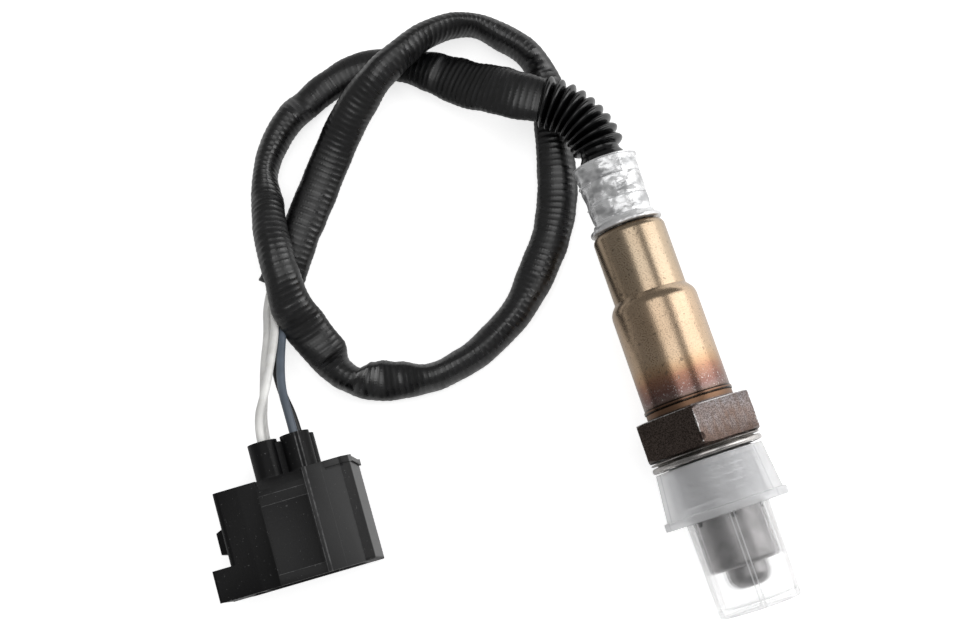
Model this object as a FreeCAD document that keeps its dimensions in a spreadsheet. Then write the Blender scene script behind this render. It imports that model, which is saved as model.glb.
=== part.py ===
"""Heated oxygen sensor with its push-on transit cap, bellows boot, sleeved harness and plug.

Frame, in millimetres: +Z is up and the origin is the middle of the gasket seat, on the thread's
axis. The axis lies along Y: the probe points to -Y and the harness leaves to +Y. The sensor lies
on one corner of its hexagon, with the harness and the plug beside it on the same surface.
"""
import FreeCAD
import Part
import Sketcher
import math
import os

ROOT_THREE = math.sqrt(3)

# Every driving dimension: alias, value in millimetres or degrees, what it is.
SIZES = [
    ("hex_flats", 22, "hexagon across its flats"),
    ("hex_height", 7.5, "hexagon along the axis"),
    ("hex_chamfer", 0.9, "corner chamfer of the hexagon, on the radius"),
    ("thread_major", 18, "outer diameter of the M18 thread"),
    ("thread_depth", 0.92, "depth of the thread below its crests"),
    ("shank_length", 12, "seat to the end of the threaded shank"),
    ("relief_length", 1.8, "plain neck between the seat and the thread"),
    ("gasket_width", 1.8, "radial width of the folded gasket"),
    ("gasket_bore_gap", 0.2, "gasket bore outside the thread crests, on the radius"),
    ("gasket_ply", 0.5, "sheet thickness of the gasket"),
    ("gasket_fold_gap", 0.35, "space between two plies of the gasket"),
    ("gasket_bend", 0.45, "outer round of the gasket's folds"),
    ("web_depth", 8, "seat to the inner web that carries the ceramic stack"),
    ("web_thickness", 1.5, "thickness of that web"),
    ("web_bore", 7, "hole in the web for the sensing element"),
    ("stack_bore", 11.2, "bore that holds the ceramic stack"),
    ("stack_gap", 0.05, "ceramic stack inside its bore, on the radius"),
    ("lower_bush_length", 4.5, "lower ceramic bush"),
    ("powder_length", 5, "pressed powder seal"),
    ("upper_bush_length", 4.7, "upper ceramic bush"),
    ("spring_rise", 0.5, "free height of the disc spring above its thickness"),
    ("spring_thickness", 0.4, "disc spring sheet"),
    ("spring_bore", 6, "hole in the disc spring"),
    ("spigot_height", 1.5, "weld spigot above the hexagon"),
    ("spigot_wall", 1.25, "wall of the weld spigot"),
    ("spigot_depth", 2, "depth of the spigot's counterbore"),
    ("shell_diameter", 17.3, "wide part of the protective shell"),
    ("shell_wall", 0.7, "sheet of the protective shell"),
    ("weld_lip_width", 0.2, "weld ring outside the shell"),
    ("weld_lip_height", 0.6, "weld ring along the axis"),
    ("shell_wide_length", 22.3, "wide part of the shell, from the weld to its step"),
    ("shell_step_height", 1.6, "cone between the wide part and the narrow part"),
    ("shell_step_round", 3, "round where that cone leaves the wide part"),
    ("shell_neck_diameter", 14.6, "narrow part of the shell"),
    ("shell_neck_length", 13.9, "narrow part of the shell, from the step to its end"),
    ("shell_end_round", 1.5, "round of the shell's end"),
    ("shell_mouth", 11.3, "hole in the shell's end"),
    ("probe_diameter", 14, "outer probe tube"),
    ("probe_wall", 0.6, "sheet of the outer probe tube"),
    ("probe_reach", 23.5, "seat to the end of the outer probe tube"),
    ("probe_round", 0.9, "end round of the outer probe tube"),
    ("probe_hole", 1.4, "gas holes of the outer probe tube"),
    ("probe_hole_reach", 13.7, "seat to those holes"),
    ("probe_hole_count", 6, "gas holes around each probe tube"),
    ("socket_gap", 0.05, "outer probe tube inside its socket, on the radius"),
    ("tip_diameter", 8.3, "inner probe tube"),
    ("tip_wall", 0.5, "sheet of the inner probe tube"),
    ("tip_reach", 27.7, "seat to the end of the inner probe tube"),
    ("tip_round", 2.5, "end round of the inner probe tube"),
    ("tip_hole", 1.6, "side holes of the inner probe tube"),
    ("tip_hole_reach", 20.5, "seat to those holes"),
    ("tip_end_hole", 2.4, "hole in the closed end of the inner probe tube"),
    ("tip_gap", 0.1, "inner probe tube inside the outer one's end, on the radius"),
    ("element_width", 4.2, "planar sensing element"),
    ("element_thickness", 1.4, "planar sensing element"),
    ("element_reach", 25.5, "seat to the element's tip"),
    ("element_top", 28.6, "seat to the element's connected end"),
    ("element_bevel", 0.8, "corner bevels of the element's tip"),
    ("slot_gap", 0.1, "slots for the element, all round it"),
    ("carrier_top", 28, "seat to the top of the contact carriers"),
    ("carrier_gap", 0.15, "contact carriers inside the shell, on the radius"),
    ("carrier_slot_depth", 1.15, "half of the slot between the carriers"),
    ("clip_base", 15.5, "seat to the groove for the contact clip"),
    ("clip_height", 5, "groove for the contact clip"),
    ("clip_depth", 0.6, "depth of that groove"),
    ("clip_side_gap", 0.3, "clip inside its groove, at each side"),
    ("clip_sheet", 0.45, "sheet of the contact clip"),
    ("clip_opening", 30, "angle left open in the clip"),
    ("contact_width", 1.4, "contact strip"),
    ("contact_sheet", 0.35, "contact strip"),
    ("contact_inset", 0.4, "contact strip beside the element's centre line"),
    ("contact_base", 14, "seat to the foot of the contact strips"),
    ("contact_top", 30, "seat to the top of the contact strips"),
    ("crimp_diameter", 2, "crimp barrel of a contact"),
    ("crimp_base", 29, "seat to the foot of the crimp barrels"),
    ("crimp_top", 32.8, "seat to the top of the crimp barrels"),
    ("lead_diameter", 1.7, "insulated lead"),
    ("lead_offset", 1.55, "lead beside the axis, in X and in Z"),
    ("lead_hole_gap", 0.05, "grommet holes round the leads, on the radius"),
    ("grommet_base", 33, "seat to the foot of the cable grommet"),
    ("grommet_gap", 0.05, "grommet ribs inside the shell, on the radius"),
    ("grommet_rib", 0.35, "height of the grommet's sealing ribs"),
    ("grommet_rib_length", 1.6, "sealing rib along the axis"),
    ("grommet_rib_slope", 0.7, "slope at each side of a sealing rib, along the axis"),
    ("grommet_rib_inset", 2.6, "each end of the grommet to the middle of its sealing rib"),
    ("boot_plug_gap", 0.15, "boot plug inside the shell's mouth, on the radius"),
    ("boot_sleeve_gap", 0.05, "boot inside the collar, on the radius"),
    ("boot_sleeve_slope", 0.2, "step from the boot's plug to its sleeve, along the axis"),
    ("boot_bore", 6.3, "bore of the boot's plug"),
    ("boot_shoulder", 9.4, "boot where it leaves the collar"),
    ("boot_shoulder_end", 1.9, "that shoulder to the first corrugation"),
    ("boot_neck", 8, "neck between the collar and the bellows"),
    ("boot_neck_length", 2.7, "collar to the first corrugation"),
    ("boot_neck_end", 0.7, "neck to the first corrugation"),
    ("boot_wall", 0.75, "wall of the bellows"),
    ("bellows_valley", 8.2, "bellows at its valleys"),
    ("bellows_crest", 10.6, "bellows at its crests"),
    ("bellows_folds", 9, "corrugations"),
    ("bend_radius", 15.3, "bend of the bellows, at its middle"),
    ("bend_angle", 60, "turn of the bellows"),
    ("collar_gap", 0.8, "shell end to the collar"),
    ("collar_length", 13.3, "crimp collar"),
    ("collar_bore", 10.8, "bore of the crimp collar"),
    ("collar_flare", 14.1, "collar at its foot"),
    ("collar_rim", 1, "full flare at the collar's foot"),
    ("collar_waist", 12.3, "collar above its flare, before it is crimped"),
    ("collar_head", 13.2, "collar below its top lip, before it is crimped"),
    ("collar_top", 13.4, "collar at its top lip"),
    ("collar_round", 0.3, "rounded edges of the collar"),
    ("crimp_flats", 11.9, "collar across the flats of its lowest crimp"),
    ("crimp_growth", 0.25, "each higher crimp, wider across its flats"),
    ("lower_crimp", 1.5, "collar foot to its lower row of crimps"),
    ("middle_crimp", 4.9, "collar foot to its middle row"),
    ("upper_crimp", 9.4, "collar foot to its upper row"),
    ("crimp_end", 12.7, "collar foot to the end of its upper row"),
    ("cap_gap", 2.5, "seat to the mouth of the cap"),
    ("cap_mouth", 21.3, "cap at its mouth, outside"),
    ("cap_skirt_end", 23.2, "cap skirt where it meets the flange"),
    ("cap_thread_gap", 0.4, "cap's mouth outside the thread, on the radius"),
    ("cap_flange", 24.5, "cap flange"),
    ("cap_flange_rise", 0.3, "cap flange above the shank's end"),
    ("cap_flange_thickness", 1.6, "cap flange"),
    ("cap_flange_round", 0.2, "edge rounds of the cap flange"),
    ("cap_floor_gap", 0.4, "cap step below the shank's end"),
    ("cap_probe_gap", 0.3, "cap round the outer probe tube, on the radius"),
    ("cap_wall", 1, "wall of the cap's tube"),
    ("cap_tip", 16.1, "cap at its closed end, outside"),
    ("cap_reach", 31.9, "seat to the closed end of the cap"),
    ("cap_floor", 1.4, "closed end of the cap"),
    ("cap_round", 0.5, "corner round of the closed end"),
    ("cap_rib", 0.4, "thickness of the cap's grip ribs"),
    ("cap_rib_gap", 0.1, "grip ribs outside the thread, on the radius"),
    ("cap_rib_start", 1, "cap's mouth to its grip ribs"),
    ("cap_rib_count", 6, "grip ribs round the thread"),
    ("cap_nub", 1.2, "moulding nub on the closed end"),
    ("cap_nub_height", 0.5, "height of that nub"),
    ("sleeve_diameter", 7, "harness sleeve"),
    ("wire_diameter", 1.7, "single wire"),
    ("plug_x", -79, "plug in X"),
    ("plug_y", 0, "mating face of the plug in Y"),
    ("plug_turn", -2.2, "turn of the plug about Z"),
    ("plug_height", 18.5, "plug from its underside to its ridge"),
    ("plug_depth", 20.4, "plug from its mating face to its rear face"),
    ("plug_left", 14.3, "plug centre line to its left side"),
    ("plug_right", 12.9, "plug centre line to its right side"),
    ("rail_right", -5.7, "where the low left rail ends"),
    ("rail_drop", 1.6, "left rail below the ridge"),
    ("panel_right", 3.8, "where the middle panel ends"),
    ("panel_drop", 0.7, "middle panel below the ridge"),
    ("ridge_width", 0.75, "ridge beside the middle panel"),
    ("ridge_rise", 0.2, "ridge above the right part"),
    ("bevel_left", 11, "where the right bevel starts"),
    ("bevel_fall", 0.5, "start of that bevel below the ridge"),
    ("bevel_drop", 1.9, "right side below the ridge"),
    ("plug_round", 1.2, "outer corner rounds of the plug"),
    ("slope_length", 2, "sloped rear band of the middle panel"),
    ("slope_drop", 2.1, "fall of that band"),
    ("field_start", 2, "mating face to the sunk field of the middle panel"),
    ("field_end", 15.3, "mating face to the end of that field"),
    ("field_inset", 0.35, "sunk field inside the panel's sides"),
    ("field_depth", 0.15, "depth of that field"),
    ("foot_reach", 3.6, "foot block beside the left side"),
    ("foot_length", 6.2, "foot block along the plug"),
    ("foot_base", 3, "underside of the foot block"),
    ("foot_round", 0.6, "corner rounds of the foot block"),
    ("tab_reach", 2.3, "locking tab beside the left side"),
    ("tab_start", 9.1, "mating face to the locking tab"),
    ("tab_length", 4.3, "locking tab along the plug"),
    ("tab_base", 4, "underside of the locking tab"),
    ("tab_height", 6, "locking tab"),
    ("tab_bevel", 1, "rear bevel of the locking tab"),
    ("rim_left", 8.1, "left end of the rear rim"),
    ("rim_length", 1.3, "rear rim along the plug"),
    ("rim_reach", 0.5, "rear rim beside the right side"),
    ("rim_depth", 2.4, "rear rim from its top to the wall below it"),
    ("rim_round", 0.3, "edge rounds of the rear rim"),
    ("groove_length", 0.5, "groove in front of the rear rim"),
    ("groove_depth", 0.9, "depth of that groove below the ridge"),
    ("core_x", 0.15, "middle of the wire ways in X"),
    ("way_pitch", 6.5, "one wire way to the next"),
    ("barrel_diameter", 5.8, "rear barrel of a wire way"),
    ("barrel_length", 7.3, "rear barrel of a wire way"),
    ("barrel_web", 2.4, "web between the barrels"),
    ("web_setback", 0.8, "that web short of the barrels' ends"),
    ("seal_bore", 4.5, "bore for a wire seal"),
    ("seal_bore_depth", 7.3, "depth of that bore"),
    ("terminal_bore", 3, "square way for a terminal"),
    ("tower_width", 15.4, "inner tower"),
    ("tower_height", 9.2, "inner tower"),
    ("tower_setback", 1.8, "mating face to the tower's front"),
    ("tower_round", 1.5, "corner rounds of the tower"),
    ("hood_gap", 2.2, "space between the tower and the hood"),
    ("hood_depth", 13.5, "mating face to the floor of the hood"),
    ("rail_slot_width", 2.2, "lightening slot in the left rail"),
    ("rail_slot_left", 13, "centre line to that slot"),
    ("rail_slot_depth", 10, "depth of that slot"),
    ("rail_slot_margin", 2.6, "that slot inside the rail's top and bottom"),
    ("rail_slot_round", 0.5, "corner rounds of that slot"),
    ("wire_seal_setback", 0.6, "wire seal inside its barrel"),
    ("wire_seal_length", 5.4, "wire seal"),
    ("wire_seal_rib", 0.35, "height of a wire seal's ribs"),
    ("wire_seal_rib_length", 1.1, "rib of a wire seal, along the wire"),
    ("wire_seal_slope", 0.3, "slope beside that rib, along the wire"),
    ("wire_seal_gap", 0.05, "wire seal inside its bore, on the radius"),
    ("terminal_width", 2.6, "terminal box"),
    ("terminal_length", 12, "terminal box"),
    ("terminal_start", 3, "mating face to the terminal box"),
    ("blade_slot_length", 4.8, "slot for the blade in a terminal"),
    ("ring_length", 2.9, "front seal along the plug"),
    ("ring_thickness", 1.5, "front seal"),
    ("ring_gap", 0.05, "front seal round the tower"),
    ("lock_thickness", 1, "secondary lock plate"),
    ("lock_hole", 1.4, "blade holes of the lock plate"),
]

# Route of the harness sleeve after its first run, which leaves the boot straight.
SLEEVE_ROUTE = [
    (-18.2, 82.6, -2.6),
    (-24.6, 88.9, -6.0),
    (-31.0, 94.2, -9.0),
    (-39.0, 97.4, -9.2),
    (-47.6, 96.0, -9.2),
    (-56.2, 92.6, -9.2),
    (-63.0, 86.6, -9.2),
    (-66.8, 79.2, -8.6),
    (-68.2, 72.0, -4.6),
    (-68.4, 64.4, -1.2),
    (-67.9, 57.0, -1.2),
    (-67.0, 50.4, -3.8),
    (-65.4, 43.4, -9.0),
    (-62.9, 36.4, -9.2),
    (-57.8, 32.4, -9.2),
    (-50.8, 31.0, -9.2),
    (-43.6, 30.2, -9.2),
    (-36.4, 31.2, -9.2),
    (-29.4, 34.0, -9.2),
    (-22.6, 39.4, -9.2),
    (-16.4, 46.6, -9.2),
    (-11.4, 54.6, -9.2),
    (-8.6, 63.4, -9.2),
    (-6.6, 71.6, -9.2),
    (-4.2, 79.6, -9.2),
    (-4.4, 87.4, -9.2),
    (-9.4, 94.4, -9.2),
    (-16.8, 99.0, -8.4),
    (-25.4, 97.8, -4.0),
    (-32.0, 94.6, -1.0),
    (-38.6, 91.0, -1.0),
    (-45.6, 86.2, -4.6),
    (-52.2, 79.6, -9.0),
    (-58.6, 71.8, -9.2),
    (-64.8, 64.4, -9.2),
    (-69.3, 57.9, -9.2),
]
FIRST_RUN = 5.0

# Each single wire: its place in the sleeve's end (to the left, up), its middle points, its way
# in the plug (across, up).
WIRES = {
    "wire_white_1": (
        (2.0, -0.4), [(-74.6, 49.5, -8.6), (-77.1, 43.5, -7.6), (-78.9, 37.4, -6.9)], (-1, -1)),
    "wire_white_2": (
        (0.1, 1.1), [(-72.8, 49.0, -6.2), (-75.2, 43.0, -3.8), (-77.7, 37.2, -1.3)], (-1, 1)),
    "wire_grey": (
        (-1.9, 0.3), [(-71.6, 48.8, -7.6), (-73.4, 42.8, -4.8), (-74.5, 37.0, -1.9)], (1, 1)),
    "wire_black": (
        (-0.4, -1.2), [(-73.4, 48.8, -9.9), (-75.3, 42.8, -8.8), (-75.3, 36.8, -7.4)], (1, -1)),
}
WIRE_FIRST_RUN = 4.0
WIRE_LAST_RUN = 4.6

# How much of a cord's shorter run each arc takes, and how true a swept bar has to be.
RUN_SHARE = 0.45
BAR_TOLERANCE = 0.01

# The bellows: circles lofted per corrugation, how full its crests are, and how far the inner loft
# overshoots its end.
FOLD_STEPS = 6
CREST_FULLNESS = 0.7
CUT_MARGIN = 0.001

CRIMP_SIDES = 8
WIRE_SEAL_RIBS = 3


class Size:
    """A length or angle together with the sheet formula that it comes from."""

    def __init__(self, value, formula):
        self.value = value
        self.formula = formula

    def __add__(self, other):
        other = as_size(other)
        return Size(self.value + other.value, f"({self.formula} + {other.formula})")

    def __sub__(self, other):
        other = as_size(other)
        return Size(self.value - other.value, f"({self.formula} - {other.formula})")

    def __mul__(self, other):
        other = as_size(other)
        return Size(self.value * other.value, f"({self.formula} * {other.formula})")

    def __truediv__(self, other):
        other = as_size(other)
        return Size(self.value / other.value, f"({self.formula} / {other.formula})")

    def __neg__(self):
        return self * -1

    def __radd__(self, other):
        return as_size(other) + self

    def __rsub__(self, other):
        return as_size(other) - self

    def __rmul__(self, other):
        return as_size(other) * self


def as_size(number):
    """A plain number as a Size, so that both can be mixed."""
    if isinstance(number, Size):
        return number
    return Size(float(number), f"({float(number)})")


class Sheet:
    """The spreadsheet of driving dimensions; each alias reads as an attribute."""

    def __init__(self, document, rows):
        self.cells = document.addObject("Spreadsheet::Sheet", "Sizes")
        for line, (alias, value, meaning) in enumerate(rows, start=1):
            self.cells.set(f"A{line}", meaning)
            self.cells.set(f"B{line}", str(value))
            self.cells.setAlias(f"B{line}", alias)
            setattr(self, alias, Size(float(value), f"Sizes.{alias}"))


doc = FreeCAD.newDocument("oxygen_sensor")
size = Sheet(doc, SIZES)
doc.recompute()
NODES = []


def new_body(label):
    """A body that will be written under its label."""
    body = doc.addObject("PartDesign::Body", label)
    body.Label = label
    NODES.append(body)
    return body


def keep(item, label):
    """Name a finished object that isn't a body and list it for writing."""
    item.Label = label
    NODES.append(item)
    return item


def bind(item, **formulas):
    """Bind properties of an object to sheet formulas; double underscores stand for dots."""
    for name, amount in formulas.items():
        item.setExpression(name.replace("__", "."), as_size(amount).formula)


def origin_feature(body, role):
    """The body's own plane or axis with this role."""
    return next(part for part in body.Origin.OriginFeatures if part.Role == role)


def new_sketch(body, name, plane, offset=None):
    """A sketch on one of the body's own planes, moved along its normal by offset."""
    sketch = body.newObject("Sketcher::SketchObject", name)
    sketch.AttachmentSupport = [(origin_feature(body, plane), "")]
    sketch.MapMode = "FlatFace"
    if offset is not None:
        bind(sketch, AttachmentOffset__Base__z=offset)
    return sketch


def hold_point(sketch, geometry, end, x, y):
    """Fix one point of a sketch by sheet formulas."""
    for kind, amount in (("DistanceX", as_size(x)), ("DistanceY", as_size(y))):
        index = sketch.addConstraint(Sketcher.Constraint(kind, -1, 1, geometry, end, amount.value))
        sketch.setExpression(f"Constraints[{index}]", amount.formula)


def corner_round(before, corner, after, radius):
    """Tangent points, centre and turn of a rounded corner."""
    back = (before - corner).normalize()
    ahead = (after - corner).normalize()
    half = back.getAngle(ahead) / 2
    reach = radius / math.tan(half)
    centre = corner + (back + ahead).normalize() * (radius / math.sin(half))
    turn = back.cross(ahead).z
    return corner + back * reach, corner + ahead * reach, centre, turn


def draw_loop(sketch, corners):
    """A closed outline of corners (x, y) or (x, y, radius), every one bound to the sheet."""
    points = [FreeCAD.Vector(as_size(c[0]).value, as_size(c[1]).value, 0) for c in corners]
    count = len(points)
    rounds = {}
    for index, corner in enumerate(corners):
        if len(corner) == 3:
            before = points[index - 1]
            after = points[(index + 1) % count]
            rounds[index] = corner_round(before, points[index], after, as_size(corner[2]).value)
    lines = []
    for index in range(count):
        following = (index + 1) % count
        start = rounds[index][1] if index in rounds else points[index]
        end = rounds[following][0] if following in rounds else points[following]
        lines.append(sketch.addGeometry(Part.LineSegment(start, end), False))
    for index, corner in enumerate(corners):
        line_in = lines[index - 1]
        line_out = lines[index]
        if index not in rounds:
            sketch.addConstraint(Sketcher.Constraint("Coincident", line_in, 2, line_out, 1))
            hold_point(sketch, line_out, 1, corner[0], corner[1])
            continue
        first, last, centre, turn = rounds[index]
        radius = as_size(corner[2])
        ends = (2, 1)
        if turn < 0:
            first, last = last, first
            ends = (1, 2)
        start_angle = math.atan2(last.y - centre.y, last.x - centre.x)
        end_angle = math.atan2(first.y - centre.y, first.x - centre.x)
        circle = Part.Circle(centre, FreeCAD.Vector(0, 0, 1), radius.value)
        arc = sketch.addGeometry(Part.ArcOfCircle(circle, start_angle, end_angle), False)
        sketch.addConstraint(Sketcher.Constraint("Tangent", line_in, 2, arc, ends[0]))
        sketch.addConstraint(Sketcher.Constraint("Tangent", arc, ends[1], line_out, 1))
        index_radius = sketch.addConstraint(Sketcher.Constraint("Radius", arc, radius.value))
        sketch.setExpression(f"Constraints[{index_radius}]", radius.formula)
        tip = sketch.addGeometry(Part.Point(points[index]), True)
        sketch.addConstraint(Sketcher.Constraint("PointOnObject", tip, 1, line_in))
        sketch.addConstraint(Sketcher.Constraint("PointOnObject", tip, 1, line_out))
        hold_point(sketch, tip, 1, corner[0], corner[1])


def draw_circle(sketch, x, y, diameter):
    """A circle whose centre and diameter are bound to the sheet."""
    diameter = as_size(diameter)
    centre = FreeCAD.Vector(as_size(x).value, as_size(y).value, 0)
    circle = Part.Circle(centre, FreeCAD.Vector(0, 0, 1), diameter.value / 2)
    index = sketch.addGeometry(circle, False)
    held = sketch.addConstraint(Sketcher.Constraint("Diameter", index, diameter.value))
    sketch.setExpression(f"Constraints[{held}]", diameter.formula)
    hold_point(sketch, index, 3, x, y)


def rectangle(left, right, low, high, radius=None):
    """Corners of an upright rectangle, rounded when a radius is given."""
    corners = [(left, low), (right, low), (right, high), (left, high)]
    if radius is None:
        return corners
    return [(x, y, radius) for x, y in corners]


def feature(body, kind, name, sketch, **formulas):
    """Add a sketch-based feature to a body and bind its sizes."""
    item = body.newObject(kind, name)
    item.Profile = sketch
    sketch.Visibility = False
    bind(item, **formulas)
    body.Tip = item
    return item


def turned(body, name, corners, cut=False, angle=360, backwards=False):
    """Turn an outline of (radius, axial place) about the Y axis, as solid or as a cut."""
    sketch = new_sketch(body, name + "_outline", "XY_Plane")
    draw_loop(sketch, corners)
    kind = "PartDesign::Groove" if cut else "PartDesign::Revolution"
    item = feature(body, kind, name, sketch, Angle=angle)
    item.ReferenceAxis = (sketch, ["V_Axis"])
    item.Reversed = backwards
    return item


def padded(body, name, plane, loops, length, offset=None, backwards=False, middle=False):
    """Pad one or more loops from one of the body's planes."""
    sketch = new_sketch(body, name + "_outline", plane, offset)
    for corners in loops:
        draw_loop(sketch, corners)
    item = feature(body, "PartDesign::Pad", name, sketch, Length=length)
    item.Reversed = backwards
    item.Midplane = middle
    return item


def pocketed(body, name, plane, loops, depth, offset=None, backwards=False, middle=False):
    """Pocket one or more loops from one of the body's planes."""
    sketch = new_sketch(body, name + "_outline", plane, offset)
    for corners in loops:
        draw_loop(sketch, corners)
    item = feature(body, "PartDesign::Pocket", name, sketch, Length=depth)
    item.Reversed = backwards
    item.Midplane = middle
    return item


def around(body, name, original, axis, count):
    """Repeat a feature evenly round one of the body's own axes."""
    pattern = body.newObject("PartDesign::PolarPattern", name)
    pattern.Originals = [original]
    pattern.Axis = (origin_feature(body, axis), [""])
    pattern.Angle = 360
    bind(pattern, Occurrences=count)
    body.Tip = pattern
    return pattern


# Places along the axis that several pieces share.
WELD = size.hex_height + size.spigot_height
SHELL_STEP = WELD + size.shell_wide_length
SHELL_END = SHELL_STEP + size.shell_neck_length
COLLAR_FOOT = SHELL_END + size.collar_gap
COLLAR_END = COLLAR_FOOT + size.collar_length
BEND_START = COLLAR_END + size.boot_neck_length
STACK_FLOOR = -size.web_depth
LOWER_BUSH_TOP = STACK_FLOOR + size.lower_bush_length
POWDER_TOP = LOWER_BUSH_TOP + size.powder_length
STACK_TOP = POWDER_TOP + size.upper_bush_length
SPRING_TOP = STACK_TOP + size.spring_rise + size.spring_thickness
WEB_FACE = STACK_FLOOR - size.web_thickness
FLOOR = -(size.hex_flats / ROOT_THREE)
THREAD_RADIUS = size.thread_major / 2
SHELL_RADIUS = size.shell_diameter / 2
OVERRUN = 1.0
STEP_MITRE = 0.36


def make_hex_body():
    """Hexagon, weld spigot and threaded shank, bored through for the ceramic stack."""
    body = new_body("hex_body")
    half = size.hex_flats / 2
    corner = size.hex_flats / ROOT_THREE
    hexagon = [(0, corner), (-half, corner / 2), (-half, -corner / 2),
               (0, -corner), (half, -corner / 2), (half, corner / 2)]
    padded(body, "hexagon", "XZ_Plane", [hexagon], size.hex_height, backwards=True)
    relief = THREAD_RADIUS - size.thread_depth
    turned(body, "core", [
        (0, -size.shank_length),
        (relief, -size.shank_length),
        (THREAD_RADIUS, -size.shank_length + size.thread_depth),
        (THREAD_RADIUS, -size.relief_length - size.thread_depth),
        (relief, -size.relief_length),
        (relief, size.hex_height / 2),
        (SHELL_RADIUS, size.hex_height / 2),
        (SHELL_RADIUS, WELD),
        (0, WELD),
    ])
    rim = corner - size.hex_chamfer
    outside = corner + OVERRUN
    fall = (outside - rim) / ROOT_THREE
    turned(body, "upper_chamfer", [
        (rim, size.hex_height),
        (outside, size.hex_height),
        (outside, size.hex_height - fall),
    ], cut=True)
    turned(body, "lower_chamfer", [(rim, 0), (outside, fall), (outside, 0)], cut=True)
    socket = size.probe_diameter / 2 + size.socket_gap
    counterbore = SHELL_RADIUS - size.spigot_wall
    turned(body, "bore", [
        (0, -size.shank_length - OVERRUN),
        (socket, -size.shank_length - OVERRUN),
        (socket, WEB_FACE),
        (size.web_bore / 2, WEB_FACE),
        (size.web_bore / 2, STACK_FLOOR),
        (size.stack_bore / 2, STACK_FLOOR),
        (size.stack_bore / 2, WELD - size.spigot_depth),
        (counterbore, WELD - size.spigot_depth),
        (counterbore, WELD + OVERRUN),
        (0, WELD + OVERRUN),
    ], cut=True)


def make_gasket():
    """Captive gasket: one sheet folded into an S, three plies high."""
    body = new_body("gasket_ring")
    ply = size.gasket_ply
    step = ply + size.gasket_fold_gap
    inner = THREAD_RADIUS + size.gasket_bore_gap
    outer = inner + size.gasket_width
    bend = size.gasket_bend
    turned(body, "fold", [
        (inner, 0),
        (outer, 0, bend),
        (outer, -step - ply, bend),
        (inner + ply, -step - ply),
        (inner + ply, -step - step),
        (outer, -step - step),
        (outer, -step - step - ply),
        (inner, -step - step - ply, bend),
        (inner, -step, bend),
        (outer - ply, -step),
        (outer - ply, -ply),
        (inner, -ply),
    ])


def make_probe_tubes():
    """Two perforated sheet tubes that shield the element in the gas."""
    outer = new_body("outer_probe_tube")
    radius = size.probe_diameter / 2
    wall = size.probe_wall
    window = size.tip_diameter / 2 + size.tip_gap
    end = -size.probe_reach
    turned(outer, "tube", [
        (radius, WEB_FACE),
        (radius, end, size.probe_round),
        (window, end),
        (window, end + wall),
        (radius - wall, end + wall, size.probe_round - wall),
        (radius - wall, WEB_FACE),
    ])
    hole = new_sketch(outer, "gas_hole_outline", "XY_Plane")
    draw_circle(hole, 0, -size.probe_hole_reach, size.probe_hole)
    cut = feature(outer, "PartDesign::Pocket", "gas_hole", hole, Length=size.probe_diameter)
    cut.Reversed = True
    around(outer, "gas_holes", cut, "Y_Axis", size.probe_hole_count)

    inner = new_body("inner_probe_tube")
    radius = size.tip_diameter / 2
    wall = size.tip_wall
    flange = size.probe_diameter / 2 - size.probe_wall - size.socket_gap
    end = -size.tip_reach
    turned(inner, "tube", [
        (flange, WEB_FACE),
        (flange, WEB_FACE - wall),
        (radius, WEB_FACE - wall),
        (radius, end, size.tip_round),
        (size.tip_end_hole / 2, end),
        (size.tip_end_hole / 2, end + wall),
        (radius - wall, end + wall, size.tip_round - wall),
        (radius - wall, WEB_FACE),
    ])
    hole = new_sketch(inner, "side_hole_outline", "XY_Plane")
    draw_circle(hole, 0, -size.tip_hole_reach, size.tip_hole)
    cut = feature(inner, "PartDesign::Pocket", "side_hole", hole, Length=size.tip_diameter)
    cut.Reversed = True
    around(inner, "side_holes", cut, "Y_Axis", size.probe_hole_count)


def make_element():
    """Planar ceramic element with a bevelled tip."""
    body = new_body("sensing_element")
    half = size.element_width / 2
    tip = -size.element_reach
    bevel = size.element_bevel
    padded(body, "strip", "XY_Plane", [[
        (-half + bevel, tip),
        (half - bevel, tip),
        (half, tip + bevel),
        (half, size.element_top),
        (-half, size.element_top),
        (-half, tip + bevel),
    ]], size.element_thickness, middle=True)


def make_stack_piece(label, low, high):
    """One round piece of the ceramic stack with a slot for the element."""
    body = new_body(label)
    radius = size.stack_bore / 2 - size.stack_gap
    turned(body, "round", [(0, low), (radius, low), (radius, high), (0, high)])
    half_width = size.element_width / 2 + size.slot_gap
    half_height = size.element_thickness / 2 + size.slot_gap
    slot = rectangle(-half_width, half_width, -half_height, half_height)
    pocketed(body, "slot", "XZ_Plane", [slot], (size.web_depth + size.hex_height) * 4, middle=True)


def make_stack():
    """Ceramic bushes, powder seal and the disc spring that loads them."""
    make_stack_piece("lower_ceramic_bush", STACK_FLOOR, LOWER_BUSH_TOP)
    make_stack_piece("powder_seal", LOWER_BUSH_TOP, POWDER_TOP)
    make_stack_piece("upper_ceramic_bush", POWDER_TOP, STACK_TOP)
    body = new_body("disc_spring")
    inner = size.spring_bore / 2
    outer = size.stack_bore / 2 - size.stack_gap * 2
    turned(body, "cone", [
        (inner, STACK_TOP),
        (outer, STACK_TOP + size.spring_rise),
        (outer, SPRING_TOP),
        (inner, SPRING_TOP - size.spring_rise),
    ])


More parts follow.
